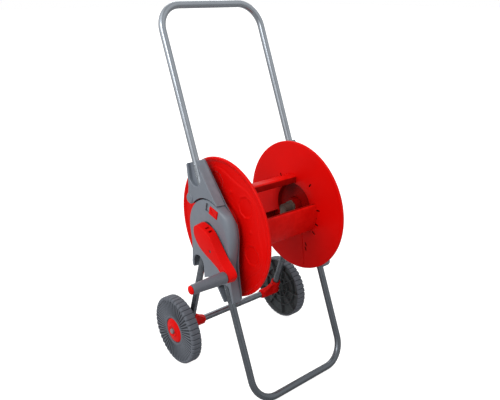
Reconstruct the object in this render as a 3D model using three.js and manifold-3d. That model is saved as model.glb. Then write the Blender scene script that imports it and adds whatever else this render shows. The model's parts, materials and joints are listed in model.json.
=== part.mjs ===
// Garden hose reel cart: a drum on a tubular frame with two wheels, a push handle and a stand.
// Millimetres, +Z up. The drum turns about X, the crank is on the -X side, the wheels are at the
// back (+Y) and the stand's foot is at the front (-Y). The origin is on the ground, below the
// middle of the object's box.

import * as THREE from "three";
import { mergeVertices } from "three/addons/utils/BufferGeometryUtils.js";
import Module from "manifold-3d";

const wasm = await Module();
wasm.setup();

// ---------------------------------------------------------------- driving dimensions

const GAP = 0.3; // between pieces that touch
const RUN = 0.3; // radial clearance of what turns

// steel tubes
const TUBE_RADIUS = 9;
const TUBE_WALL = 1.2;
const TUBE_SIDES = 16;
const TUBE_X = 152; // half the distance between the two legs
const LEAN = THREE.MathUtils.degToRad(22.42); // handle and stand legs, from the vertical
const BEND_RADIUS = 61;
const BEND_STEPS = 5;
const HANDLE_TOP_Z = 923.3;
const HANDLE_END_Z = 506;
const STAND_END_Z = 336;

// drum
const DRUM_Z = 414.3;
const LEG_Y_AT_DRUM = -4; // where the legs' line passes the drum's axis
const FLANGE_RADIUS = 175;
const FLANGE_INNER_X = 115.5;
const FLANGE_SIDES = 40;
const DISH_RADIUS = 62; // the flange's dished middle
const DISH_DEPTH = 8.5;
const SLAT_RADIUS = 86;
const SLAT_LIP_RADIUS = 68;
const SLAT_WALL = 2.5;
const SLAT_WIDTH_DEG = 55;
const SLAT_COUNT = 3;
const FIRST_SLAT_DEG = 188; // middle of the front slat, from +Y towards +Z

// side casings, in |x|
const CASE_INNER_X = 140;
const CASE_OUTER_X = 165;
const CASING_WALL = 3;
const CASING_EDGE = 5; // rounding of the outer rim
const COVER_WALL = 2;
const COVER_EDGE = 2;
const SEAM_RADIUS = 82.4; // between the lower casing and the upper cover
const PANEL_THICKNESS = 2.6;
const JOURNAL_RADIUS = 20;
const JOURNAL_SIDES = 24;
const BUSH_RADIUS = 25.7;

// wheels and axle
const AXLE_Y = 121.7;
const AXLE_Z = 93.8;
const AXLE_RADIUS = 6;
const AXLE_END_X = 208.7;
const AXLE_TUBE_END_X = 140;
const WHEEL_SIDES = 28;
const WHEEL_INNER_X = 175;
const WHEEL_OUTER_X = 203.7;
const WHEEL_SHOULDER = 7; // from the tread over to the outer face
const WHEEL_RIM_DEPTH = 6;
const WHEEL_WEB_X = 190; // inner side of the web
const WHEEL_HUB_RADIUS = 14;
const WHEEL_HUB_INNER_X = 173.8;
const HUB_RECESS_X = 198; // floor of the recess for the hub cap
const HUB_CAP_RADIUS = 34;
const HUB_CAP_HOLE = 9.2; // around the push cap
const HUB_CAP_END_X = 207.4;
const PUSH_CAP_RADIUS = 8.4;
const PUSH_CAP_INNER_X = 203;
const PUSH_CAP_END_X = 211;
const WASHER_RADIUS = 12;
const WASHER_THICKNESS = 1.9;

// rear struts
const STRUT_FOOT_Y = 116.5; // where the strut's line passes the axle's height
const STRUT_SLOPE = 0.316; // forwards per unit of height
const STRUT_END_Z = 338;

// crank and grip, on the -X side
const CRANK_INNER_X = 168.2;
const CRANK_OUTER_X = 190;
const CRANK_LENGTH = 122.8;
const CRANK_ANGLE = THREE.MathUtils.degToRad(215.5); // from +Y towards +Z
const CRANK_HUB_RADIUS = 29;
const CRANK_SCREW_REACH = 50; // from the drum's axis
const GRIP_PIN_RADIUS = 5;
const GRIP_SIDES = 20;
const GRIP_ROOT_X = 191.5;
const GRIP_END_X = 283;
const GRIP_CAP_END_X = 289;

// lock slider
const LOCK_CENTRE = new THREE.Vector2(-23.7, 56.2); // from the drum's axis
const LOCK_TILT = THREE.MathUtils.degToRad(14);
const LOCK_LENGTH = 31;
const LOCK_HEIGHT = 20;
const LOCK_TRAVEL = 15;
const LOCK_DEPTH = 3.6; // of the slider below the casing's face
const LOCK_CLIP_CORNER = 7;

// screws
const TUBE_SCREW_RADIUS = 2;
const CASE_SCREW_RADIUS = 1.8;
const SCREW_HEAD_RADIUS = 4;
const SCREW_HEAD_HEIGHT = 2.4;
const POST_RADIUS = 4.5; // of the casing's screw posts

// water way, on the +X side
const WATER_BORE_RADIUS = 9;
const CONNECTOR_RADIUS = 13;
const CONNECTOR_BORE = 6;
const CONNECTOR_NECK = 26; // from its seat to the elbow
const CONNECTOR_SPOUT = new THREE.Vector3(-30, -26, -32); // from the elbow
const SPOUT_RADIUS = 9;
const INLET_RADIUS = 13;
const INLET_BORE = 5;
const INLET_END_X = 191;
const INLET_ELBOW_X = 179;
const INLET_DROP = 30; // from the drum's axis to the end of the elbow
const NIPPLE_DROP = 60;
const NIPPLE_RADIUS = 7.4;

// ---------------------------------------------------------------- materials

const GREY_PLASTIC = { color: 0x6d7480, roughness: 0.5, metalness: 0 };
const DARK_PLASTIC = { color: 0x3f4449, roughness: 0.6, metalness: 0 };
const RED_PLASTIC = { color: 0xd60f10, roughness: 0.42, metalness: 0 };
const TUBE_PAINT = { color: 0x62676d, roughness: 0.4, metalness: 0.3 };
const WHEEL_PLASTIC = { color: 0x5e646d, roughness: 0.7, metalness: 0 };
const ZINC_STEEL = { color: 0xa9adb2, roughness: 0.35, metalness: 0.9 };
const SEAL_RUBBER = { color: 0x1c1c1e, roughness: 0.8, metalness: 0 };

// ---------------------------------------------------------------- solids

const X_AXIS = new THREE.Vector3(1, 0, 0);
const Y_AXIS = new THREE.Vector3(0, 1, 0);
const Z_AXIS = new THREE.Vector3(0, 0, 1);
const SIDE_VIEW = new THREE.Matrix4().makeBasis(Y_AXIS, Z_AXIS, X_AXIS);

const point = (y, z) => new THREE.Vector2(y, z);
const place = (x, y, z) => new THREE.Vector3(x, y, z);

// A closed three.js geometry as a manifold solid, faces outwards.
function toSolid(geometry) {
  const bare = new THREE.BufferGeometry();
  bare.setAttribute("position", geometry.getAttribute("position"));
  bare.setIndex(geometry.index);
  const merged = mergeVertices(bare, 1e-3);
  const corners = merged.index.array;
  const kept = [];
  for (let i = 0; i < corners.length; i += 3) {
    const [a, b, c] = corners.slice(i, i + 3);
    if (a !== b && b !== c && c !== a) kept.push(a, b, c);
  }
  const make = (triangles) =>
    new wasm.Manifold(
      new wasm.Mesh({
        numProp: 3,
        vertProperties: merged.attributes.position.array,
        triVerts: new Uint32Array(triangles),
      }),
    );
  const solid = make(kept);
  return solid.volume() > 0 ? solid : make(kept.reverse());
}

const union = (first, ...others) => others.reduce((sum, next) => sum.add(next), first);
const cut = (body, ...tools) => tools.reduce((rest, tool) => rest.subtract(tool), body);

function toGeometry(solid) {
  const mesh = solid.getMesh();
  const geometry = new THREE.BufferGeometry();
  geometry.setAttribute("position", new THREE.BufferAttribute(mesh.vertProperties, 3));
  geometry.setIndex(new THREE.BufferAttribute(mesh.triVerts, 1));
  const faceted = geometry.toNonIndexed();
  faceted.computeVertexNormals();
  return faceted;
}

// One named sub-part with its own material.
function piece(name, solid, look) {
  const mesh = new THREE.Mesh(toGeometry(solid), new THREE.MeshStandardMaterial(look));
  mesh.name = name;
  return mesh;
}

// A solid of revolution about an axis along X. The profile is a list of [radius, x].
function turned(profile, sides, y = 0, z = 0) {
  const points = profile.map(([radius, x]) => new THREE.Vector2(radius, x));
  const onAxis = profile[0][0] === 0;
  if (!onAxis) points.push(points[0].clone());
  const geometry = new THREE.LatheGeometry(points, sides, Math.PI / sides);
  geometry.rotateZ(-Math.PI / 2);
  geometry.translate(0, y, z);
  return toSolid(geometry);
}

// The corner radius of a polygon whose flats lie at this radius.
const overFlats = (radius, sides) => radius / Math.cos(Math.PI / sides);

function rod(from, to, radius, sides = TUBE_SIDES) {
  const along = new THREE.Vector3().subVectors(to, from);
  const geometry = new THREE.CylinderGeometry(radius, radius, along.length(), sides);
  const turn = new THREE.Quaternion().setFromUnitVectors(Y_AXIS, along.clone().normalize());
  geometry.applyQuaternion(turn);
  const middle = new THREE.Vector3().addVectors(from, to).multiplyScalar(0.5);
  geometry.translate(middle.x, middle.y, middle.z);
  return toSolid(geometry);
}

function rodX(fromX, toX, y, z, radius, sides) {
  return rod(place(fromX, y, z), place(toX, y, z), radius, sides);
}

// An outline in the (y, z) plane, given thickness from one x to another.
// An edge above 0 rounds its rims.
function plate(outline, fromX, toX, edge = 0, edgeSteps = 2) {
  const geometry = new THREE.ExtrudeGeometry(new THREE.Shape(outline), {
    depth: toX - fromX - 2 * edge,
    bevelEnabled: edge > 0,
    bevelThickness: edge,
    bevelSize: edge,
    bevelOffset: -edge,
    bevelSegments: edgeSteps,
  });
  geometry.applyMatrix4(SIDE_VIEW);
  geometry.translate(fromX + edge, 0, 0);
  return toSolid(geometry);
}

function block(fromX, toX, fromY, toY, fromZ, toZ) {
  const geometry = new THREE.BoxGeometry(toX - fromX, toY - fromY, toZ - fromZ);
  geometry.translate((fromX + toX) / 2, (fromY + toY) / 2, (fromZ + toZ) / 2);
  return toSolid(geometry);
}

// Points of an arc; angles run from +Y towards +Z.
function arc(centreY, centreZ, radius, fromDeg, toDeg, steps) {
  return Array.from({ length: steps + 1 }, (_, i) => {
    const angle = THREE.MathUtils.degToRad(fromDeg + ((toDeg - fromDeg) * i) / steps);
    return point(centreY + radius * Math.cos(angle), centreZ + radius * Math.sin(angle));
  });
}

const smooth = (points, steps) => new THREE.SplineCurve(points).getPoints(steps);

// The same outline, a distance further in.
function inset(outline, distance) {
  const towards = Math.sign(THREE.ShapeUtils.area(outline)) * distance;
  return outline.map((corner, i) => {
    const before = outline.at(i - 1);
    const after = outline[(i + 1) % outline.length];
    const arriving = new THREE.Vector2().subVectors(corner, before).normalize();
    const leaving = new THREE.Vector2().subVectors(after, corner).normalize();
    const across = point(-arriving.y - leaving.y, arriving.x + leaving.x).normalize();
    const share = Math.max(0.5, -across.x * arriving.y + across.y * arriving.x);
    return corner.clone().addScaledVector(across, towards / share);
  });
}

// ---------------------------------------------------------------- tubes

// A line through corners with round bends, with a station only where the tube turns or ends.
class BentPath extends THREE.Curve {
  constructor(corners, radius, steps) {
    super();
    const heading = (a, b) => new THREE.Vector3().subVectors(b, a).normalize();
    this.stations = [{ at: corners[0], along: heading(corners[0], corners[1]) }];
    for (let i = 1; i < corners.length - 1; i++) {
      const before = heading(corners[i - 1], corners[i]);
      const after = heading(corners[i], corners[i + 1]);
      const angle = before.angleTo(after);
      const start = corners[i].clone().addScaledVector(before, -radius * Math.tan(angle / 2));
      const inwards = after.clone().addScaledVector(before, -Math.cos(angle)).normalize();
      for (let k = 0; k <= steps; k++) {
        const turn = (angle * k) / steps;
        const at = start.clone();
        at.addScaledVector(before, radius * Math.sin(turn));
        at.addScaledVector(inwards, radius * (1 - Math.cos(turn)));
        const along = before.clone().multiplyScalar(Math.cos(turn));
        along.addScaledVector(inwards, Math.sin(turn));
        this.stations.push({ at, along });
      }
    }
    this.stations.push({ at: corners.at(-1), along: heading(corners.at(-2), corners.at(-1)) });
    this.steps = this.stations.length - 1;
  }
  getUtoTmapping(u) {
    return u;
  }
  getPoint(t, target = new THREE.Vector3()) {
    const i = Math.min(Math.floor(t * this.steps + 1e-9), this.steps - 1);
    return target.lerpVectors(this.stations[i].at, this.stations[i + 1].at, t * this.steps - i);
  }
  getTangent(t, target = new THREE.Vector3()) {
    return target.copy(this.stations[Math.round(t * this.steps)].along);
  }
}

// A ring section with one flat turned to face the angle given.
function tubeSection(facing = 0) {
  const ring = (radius) =>
    Array.from({ length: TUBE_SIDES }, (_, i) => {
      const angle = facing + ((i + 0.5) * 2 * Math.PI) / TUBE_SIDES;
      return new THREE.Vector2(radius * Math.cos(angle), radius * Math.sin(angle));
    });
  const section = new THREE.Shape(ring(TUBE_RADIUS));
  section.holes.push(new THREE.Path(ring(TUBE_RADIUS - TUBE_WALL)));
  return section;
}

function tube(corners, facing) {
  const path = new BentPath(corners, BEND_RADIUS, BEND_STEPS);
  const geometry = new THREE.ExtrudeGeometry(tubeSection(facing), {
    steps: path.steps,
    extrudePath: path,
  });
  return toSolid(geometry);
}

const legY = (z) => LEG_Y_AT_DRUM + (z - DRUM_Z) * Math.tan(LEAN);
const legPoint = (x, z) => place(x, legY(z), z);
const strutY = (z) => STRUT_FOOT_Y - (z - AXLE_Z) * STRUT_SLOPE;
const strutPoint = (x, z) => place(x, strutY(z), z);
const FOOT_BAR_Z = TUBE_RADIUS * Math.cos(Math.PI / TUBE_SIDES); // its lowest flat on the ground

// Heights at which a screw crosses each tube, inside the casing.
const HANDLE_SCREW_Z = 522;
const STAND_SCREW_Z = 316;
const STRUT_SCREW_Z = 318;

function crossHole(y, z) {
  const radius = TUBE_SCREW_RADIUS + GAP;
  return [-1, 1].map((side) => rodX(side * (TUBE_X - 16), side * (TUBE_X + 16), y, z, radius, 8));
}

function handleTube() {
  const top = HANDLE_TOP_Z;
  const corners = [
    legPoint(-TUBE_X, HANDLE_END_Z),
    legPoint(-TUBE_X, top),
    legPoint(TUBE_X, top),
    legPoint(TUBE_X, HANDLE_END_Z),
  ];
  return cut(tube(corners), ...crossHole(legY(HANDLE_SCREW_Z), HANDLE_SCREW_Z));
}

function standTube() {
  const corners = [
    legPoint(-TUBE_X, STAND_END_Z),
    legPoint(-TUBE_X, FOOT_BAR_Z),
    legPoint(TUBE_X, FOOT_BAR_Z),
    legPoint(TUBE_X, STAND_END_Z),
  ];
  return cut(tube(corners, LEAN), ...crossHole(legY(STAND_SCREW_Z), STAND_SCREW_Z));
}

const STRUT_SOCKET_LENGTH = 39; // of the axle bracket, along the strut
const STRUT_TUBE_START = 14; // the strut's end stops this far above the axle's height

function strutTube() {
  const hole = crossHole(strutY(STRUT_SCREW_Z), STRUT_SCREW_Z)[1];
  const body = tube([strutPoint(TUBE_X, AXLE_Z + STRUT_TUBE_START), strutPoint(TUBE_X, STRUT_END_Z)]);
  return cut(body, hole, bracketScrewHole());
}

function axleTube() {
  return tube([place(-AXLE_TUBE_END_X, AXLE_Y, AXLE_Z), place(AXLE_TUBE_END_X, AXLE_Y, AXLE_Z)]);
}

// ---------------------------------------------------------------- axle brackets

const BRACKET_INNER_X = 103;
const BRACKET_OUTER_X = 171;
const BRACKET_RADIUS = 14;
const BRACKET_SIDES = 12;
const BRACKET_SCREW_RISE = 28; // height of the strut's screw above the axle
const GUSSET_LENGTH = 44; // inboard from the strut, along the collar
const GUSSET_HEIGHT = 33;
const GUSSET_LOW_HEIGHT = 16; // at its inboard end
const GUSSET_PEAK = 19; // its top runs this far inboard before it drops
const GUSSET_THICKNESS = 10;

// The web between the collar and the strut's socket, leaning with the strut.
function gusset() {
  const outline = new THREE.Shape([
    new THREE.Vector2(0, 0),
    new THREE.Vector2(0, GUSSET_HEIGHT),
    new THREE.Vector2(-GUSSET_PEAK, GUSSET_HEIGHT),
    new THREE.Vector2(-GUSSET_LENGTH, GUSSET_LOW_HEIGHT),
    new THREE.Vector2(-GUSSET_LENGTH, 0),
  ]);
  const geometry = new THREE.ExtrudeGeometry(outline, {
    depth: GUSSET_THICKNESS,
    bevelEnabled: false,
  });
  geometry.translate(0, 0, -GUSSET_THICKNESS / 2);
  geometry.rotateX(Math.PI / 2 + Math.atan(STRUT_SLOPE));
  const foot = strutPoint(TUBE_X, AXLE_Z);
  geometry.translate(foot.x, foot.y, foot.z);
  return toSolid(geometry);
}

function bracketScrewHole() {
  const z = AXLE_Z + BRACKET_SCREW_RISE;
  return rodX(TUBE_X - 20, TUBE_X - 2, strutY(z), z, TUBE_SCREW_RADIUS + GAP, 8);
}

function axleBracket() {
  const collar = turned(
    [
      [0, BRACKET_INNER_X],
      [BRACKET_RADIUS - 3, BRACKET_INNER_X],
      [BRACKET_RADIUS, BRACKET_INNER_X + 6],
      [BRACKET_RADIUS, BRACKET_OUTER_X - 4],
      [BRACKET_RADIUS - 3, BRACKET_OUTER_X],
      [0, BRACKET_OUTER_X],
    ],
    BRACKET_SIDES,
    AXLE_Y,
    AXLE_Z,
  );
  const up = new THREE.Vector3(0, -STRUT_SLOPE, 1).normalize();
  const foot = strutPoint(TUBE_X, AXLE_Z);
  const along = (length) => foot.clone().addScaledVector(up, length);
  const socket = rod(foot, along(STRUT_SOCKET_LENGTH), BRACKET_RADIUS - 0.5, BRACKET_SIDES);
  const tubeBore = overFlats(TUBE_RADIUS + GAP, TUBE_SIDES);
  const screwZ = AXLE_Z + BRACKET_SCREW_RISE;
  const screwY = strutY(screwZ);
  return cut(
    union(collar, socket, gusset()),
    rodX(BRACKET_INNER_X - 1, AXLE_TUBE_END_X + GAP, AXLE_Y, AXLE_Z, tubeBore),
    rodX(BRACKET_INNER_X, BRACKET_OUTER_X + 1, AXLE_Y, AXLE_Z, AXLE_RADIUS + GAP),
    rod(along(STRUT_TUBE_START), along(STRUT_SOCKET_LENGTH + 1), tubeBore),
    bracketScrewHole(),
    rodX(BRACKET_INNER_X, TUBE_X - BRACKET_RADIUS, screwY, screwZ, SCREW_HEAD_RADIUS + 0.6, 10),
  );
}

// ---------------------------------------------------------------- wheels

function wheel() {
  const bore = overFlats(AXLE_RADIUS + RUN, WHEEL_SIDES);
  const rim = overFlats(AXLE_Z, WHEEL_SIDES);
  const profile = [
    [bore, WHEEL_HUB_INNER_X],
    [WHEEL_HUB_RADIUS, WHEEL_HUB_INNER_X],
    [WHEEL_HUB_RADIUS + 2, WHEEL_WEB_X],
    [AXLE_Z - WHEEL_RIM_DEPTH - 2, WHEEL_WEB_X],
    [AXLE_Z - WHEEL_RIM_DEPTH, WHEEL_INNER_X],
    [rim - 4, WHEEL_INNER_X],
    [rim, WHEEL_INNER_X + 4],
    [rim, WHEEL_OUTER_X - WHEEL_SHOULDER],
    [rim - WHEEL_SHOULDER * 0.3, WHEEL_OUTER_X - WHEEL_SHOULDER * 0.3],
    [rim - WHEEL_SHOULDER, WHEEL_OUTER_X],
    [HUB_CAP_RADIUS + 2.6, WHEEL_OUTER_X - 0.7],
    [HUB_CAP_RADIUS + 0.6, HUB_RECESS_X],
    [bore, HUB_RECESS_X],
  ];
  return turned(profile, WHEEL_SIDES, AXLE_Y, AXLE_Z);
}

function hubCap() {
  const profile = [
    [HUB_CAP_HOLE, HUB_RECESS_X + GAP],
    [HUB_CAP_RADIUS, HUB_RECESS_X + GAP],
    [HUB_CAP_RADIUS, HUB_CAP_END_X - 3.9],
    [HUB_CAP_RADIUS - 3, HUB_CAP_END_X - 2.2],
    [14, HUB_CAP_END_X],
    [HUB_CAP_HOLE, HUB_CAP_END_X],
  ];
  return turned(profile, WHEEL_SIDES, AXLE_Y, AXLE_Z);
}

function pushCap() {
  const profile = [
    [0, AXLE_END_X + GAP],
    [AXLE_RADIUS + GAP, AXLE_END_X + GAP],
    [AXLE_RADIUS + GAP, PUSH_CAP_INNER_X],
    [PUSH_CAP_RADIUS, PUSH_CAP_INNER_X],
    [PUSH_CAP_RADIUS, PUSH_CAP_END_X - 2],
    [PUSH_CAP_RADIUS - 2.4, PUSH_CAP_END_X],
    [0, PUSH_CAP_END_X],
  ];
  return turned(profile, 16, AXLE_Y, AXLE_Z);
}

function washer() {
  const inner = BRACKET_OUTER_X + GAP;
  const profile = [
    [AXLE_RADIUS + GAP, inner],
    [WASHER_RADIUS, inner],
    [WASHER_RADIUS, inner + WASHER_THICKNESS],
    [AXLE_RADIUS + GAP, inner + WASHER_THICKNESS],
  ];
  return turned(profile, 16, AXLE_Y, AXLE_Z);
}

// ---------------------------------------------------------------- side casings

// Their outlines are drawn about the drum's axis.
// The lower casing: a round head, a rear leg for the strut and a front leg for the stand.
function casingOutline(seamRadius) {
  const rearEdge = smooth([point(79.6, -20), point(73, -52), point(74, -84), point(77, -112)], 6);
  const frontEdge = smooth(
    [point(-95, -150), point(-90, -116), point(-84, -75), point(-84, -34), point(-86, 4), point(-79, 36)],
    10,
  );
  return [
    ...arc(0, 0, seamRadius, 120.7, -14, 18),
    ...rearEdge.slice(1),
    point(73, -118),
    point(34, -131),
    ...smooth([point(27, -130), point(10, -125), point(-7, -122), point(-20, -125), point(-31, -135)], 6),
    point(-54, -171),
    ...frontEdge,
    point(-62, 54),
  ];
}

// The upper cover: a wedge from the handle's mouth down to the seam, with a round ear at the back.
function coverOutline(seamRadius) {
  return [
    point(85, 150),
    point(49, 166),
    point(43.5, 166),
    ...arc(0, 0, seamRadius + 0.2, 120.7, 50, 12),
    ...arc(74.5, 65, 14, -142, 45, 7),
    point(79, 96),
    point(82, 126),
  ];
}

// A slot with a round end and an open mouth, seen from the side.
function mouthSlot(endY, endZ, mouthY, mouthZ, endRadius, mouthHalf) {
  const along = Math.atan2(mouthZ - endZ, mouthY - endY);
  const away = THREE.MathUtils.radToDeg(along);
  const across = point(-Math.sin(along), Math.cos(along)).multiplyScalar(mouthHalf);
  const mouth = point(mouthY, mouthZ);
  return [
    mouth.clone().sub(across),
    mouth.clone().add(across),
    ...arc(endY, endZ, endRadius, away + 90, away + 270, 8),
  ];
}

const BUSH_HOLE_RADIUS = overFlats(BUSH_RADIUS + GAP, JOURNAL_SIDES);
const FACE_CUT_X = CASE_OUTER_X - 15; // slots open the outer face and the mouths this deep

// Slots over the tube ends: end y and z, mouth y and z, end radius, half width at the mouth.
const HANDLE_SLOT = [47, 121, 61, 176, 18, 20];
const STRUT_SLOT = [45, -97.5, 36, -137, 18.5, 20.5];
const STAND_SLOT = [-63, -147, -76, -185, 21.5, 22];

function faceSlot(...sizes) {
  return plate(mouthSlot(...sizes), FACE_CUT_X, CASE_OUTER_X + 1);
}

const CASE_SCREWS = [
  ["front_casing_screw", -60, -15],
  ["low_casing_screw", 1, -72],
  ["cover_screw", 14, 112],
  ["ear_screw", 74.5, 65],
];

const screwPost = (y, z) => rodX(CASE_INNER_X + GAP, CASE_OUTER_X - 1.5, y, z, POST_RADIUS, 10);
function screwHole(y, z) {
  return rodX(CASE_INNER_X - 6, CASE_OUTER_X - 6, y, z, CASE_SCREW_RADIUS + GAP, 8);
}

function shell(outline, posts, wall, edge) {
  const rounded = plate(outline, 2 * CASE_INNER_X - CASE_OUTER_X, CASE_OUTER_X, edge, 1);
  const hollow = plate(inset(outline, wall), CASE_INNER_X - wall, CASE_OUTER_X - wall);
  const rest = block(0, CASE_INNER_X, -200, 200, -300, 300);
  const open = cut(rounded, rest, hollow);
  const kept = posts.filter(([, y, z]) => isInside(outline, y, z));
  const joined = union(open, ...kept.map(([, y, z]) => screwPost(y, z)));
  return cut(joined, ...kept.map(([, y, z]) => screwHole(y, z)));
}

function isInside(outline, y, z) {
  let inside = false;
  outline.forEach((a, i) => {
    const b = outline.at(i - 1);
    const crosses = a.y > z !== b.y > z;
    if (crosses && y < ((b.x - a.x) * (z - a.y)) / (b.y - a.y) + a.x) inside = !inside;
  });
  return inside;
}

// The tubes' clearance through the casing's walls, in heights from the drum's axis.
function legPassage(fromZ, toZ) {
  const start = legPoint(TUBE_X, fromZ).sub(place(0, 0, DRUM_Z));
  const end = legPoint(TUBE_X, toZ).sub(place(0, 0, DRUM_Z));
  return rod(start, end, overFlats(TUBE_RADIUS + GAP, TUBE_SIDES));
}

function strutPassage() {
  const start = strutPoint(TUBE_X, 260).sub(place(0, 0, DRUM_Z));
  const end = strutPoint(TUBE_X, STRUT_END_Z + 1).sub(place(0, 0, DRUM_Z));
  return rod(start, end, overFlats(TUBE_RADIUS + GAP, TUBE_SIDES));
}

function lockOutline(from, to, halfHeight) {
  const along = point(Math.cos(LOCK_TILT), Math.sin(LOCK_TILT));
  const across = point(-along.y, along.x);
  const corner = (u, v) => LOCK_CENTRE.clone().addScaledVector(along, u).addScaledVector(across, v);
  return [
    corner(from, -halfHeight),
    corner(to, -halfHeight),
    corner(to, halfHeight),
    corner(from, halfHeight),
  ];
}

function lowerCasing(withLock) {
  const body = shell(casingOutline(SEAM_RADIUS - 0.4), CASE_SCREWS, CASING_WALL, CASING_EDGE);
  const slotEnd = LOCK_LENGTH / 2 + LOCK_TRAVEL + 0.6;
  const lockSlot = plate(
    lockOutline(-LOCK_LENGTH / 2 - 0.6, slotEnd, LOCK_HEIGHT / 2 + 0.5),
    CASE_OUTER_X - CASING_WALL - 1,
    CASE_OUTER_X + 1,
  );
  const open = cut(
    body,
    rodX(CASE_INNER_X, CASE_OUTER_X + 1, 0, 0, BUSH_HOLE_RADIUS, JOURNAL_SIDES),
    legPassage(230, STAND_END_Z + 1),
    strutPassage(),
    faceSlot(...STRUT_SLOT),
    faceSlot(...STAND_SLOT),
  );
  return withLock ? cut(open, lockSlot) : open;
}

function upperCover() {
  return cut(
    shell(coverOutline(SEAM_RADIUS + 0.4), CASE_SCREWS, COVER_WALL, COVER_EDGE),
    legPassage(HANDLE_END_Z - 1, 620),
    faceSlot(...HANDLE_SLOT),
  );
}

function innerPanel() {
  const outer = CASE_INNER_X - GAP;
  const inner = outer - PANEL_THICKNESS;
  const below = plate(inset(casingOutline(SEAM_RADIUS + 0.5), 0.5), inner, outer);
  const above = plate(inset(coverOutline(SEAM_RADIUS - 0.5), 0.5), inner, outer);
  const screws = CASE_SCREWS.map(([, y, z]) => screwHole(y, z));
  const tubeScrews = TUBE_SCREWS.map(([, y, z]) => {
    return rodX(inner - 1, outer + 1, y, z - DRUM_Z, TUBE_SCREW_RADIUS + GAP, 8);
  });
  const hub = rodX(inner - 1, outer + 1, 0, 0, BUSH_HOLE_RADIUS, JOURNAL_SIDES);
  return cut(union(below, above), hub, ...screws, ...tubeScrews);
}

function bush() {
  const bore = overFlats(JOURNAL_RADIUS + RUN, JOURNAL_SIDES);
  const collarX = CASE_INNER_X - GAP - PANEL_THICKNESS - GAP;
  const profile = [
    [bore, collarX - 2.4],
    [BUSH_RADIUS + 4, collarX - 2.4],
    [BUSH_RADIUS + 4, collarX],
    [BUSH_RADIUS, collarX],
    [BUSH_RADIUS, CASE_OUTER_X + 1],
    [bore, CASE_OUTER_X + 1],
  ];
  return turned(profile, JOURNAL_SIDES);
}

// A pan-head screw driven outwards along X from its seat.
function screw(y, z, seatX, shankRadius, tipX) {
  const profile = [
    [0, seatX - SCREW_HEAD_HEIGHT],
    [SCREW_HEAD_RADIUS * 0.6, seatX - SCREW_HEAD_HEIGHT],
    [SCREW_HEAD_RADIUS, seatX - SCREW_HEAD_HEIGHT / 2],
    [SCREW_HEAD_RADIUS, seatX],
    [shankRadius, seatX],
    [shankRadius, tipX - 1.5],
    [0, tipX],
  ];
  return turned(profile, 8, y, z);
}

// A screw with its head under the inner panel.
function panelScrew(y, z, shankRadius, tipX) {
  return screw(y, z, CASE_INNER_X - GAP - PANEL_THICKNESS - GAP, shankRadius, tipX);
}

const TUBE_SCREWS = [
  ["handle_screw", legY(HANDLE_SCREW_Z), HANDLE_SCREW_Z],
  ["stand_screw", legY(STAND_SCREW_Z), STAND_SCREW_Z],
  ["strut_screw", strutY(STRUT_SCREW_Z), STRUT_SCREW_Z],
];

function bracketScrew() {
  const z = AXLE_Z + BRACKET_SCREW_RISE;
  const seat = TUBE_X - BRACKET_RADIUS;
  return screw(strutY(z), z, seat - GAP, TUBE_SCREW_RADIUS, seat + 9);
}

// ---------------------------------------------------------------- lock slider

function lockSlider() {
  const half = LOCK_LENGTH / 2;
  const outline = lockOutline(-half, half, LOCK_HEIGHT / 2);
  return plate(outline, CASE_OUTER_X - LOCK_DEPTH, CASE_OUTER_X + 2.2, 1.2, 1);
}

// The plate behind the slider; it closes the slot that the slider leaves open.
// One corner is cut off, so that it clears the casing's wall at the end of the travel.
function lockClip() {
  const half = LOCK_LENGTH / 2 + 1;
  const halfHeight = LOCK_HEIGHT / 2 + 1.5;
  const [lowFront, lowRear, topRear, topFront] = lockOutline(-half, half + LOCK_TRAVEL, halfHeight);
  const outline = [
    lowFront,
    lowRear,
    topRear.clone().lerp(lowRear, LOCK_CLIP_CORNER / (2 * halfHeight)),
    topRear.clone().lerp(topFront, LOCK_CLIP_CORNER / (2 * half + LOCK_TRAVEL)),
    topFront,
  ];
  const outer = CASE_OUTER_X - LOCK_DEPTH - GAP;
  return plate(outline, outer - 2, outer);
}

// ---------------------------------------------------------------- drum

function flange() {
  const rimX = FLANGE_INNER_X + 5.5;
  const faceX = FLANGE_INNER_X + 2.7;
  const dishX = FLANGE_INNER_X + DISH_DEPTH;
  const profile = [
    [24, dishX],
    [DISH_RADIUS, dishX],
    [DISH_RADIUS, FLANGE_INNER_X],
    [FLANGE_RADIUS - 2, FLANGE_INNER_X],
    [FLANGE_RADIUS, FLANGE_INNER_X + 2],
    [FLANGE_RADIUS, rimX - 1],
    [FLANGE_RADIUS - 2, rimX],
    [FLANGE_RADIUS - 5, rimX],
    [FLANGE_RADIUS - 9, faceX],
    [DISH_RADIUS + 2.7, faceX],
    [DISH_RADIUS + 2.7, dishX + 2.7],
    [24, dishX + 2.7],
  ];
  return turned(profile, FLANGE_SIDES);
}

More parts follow.
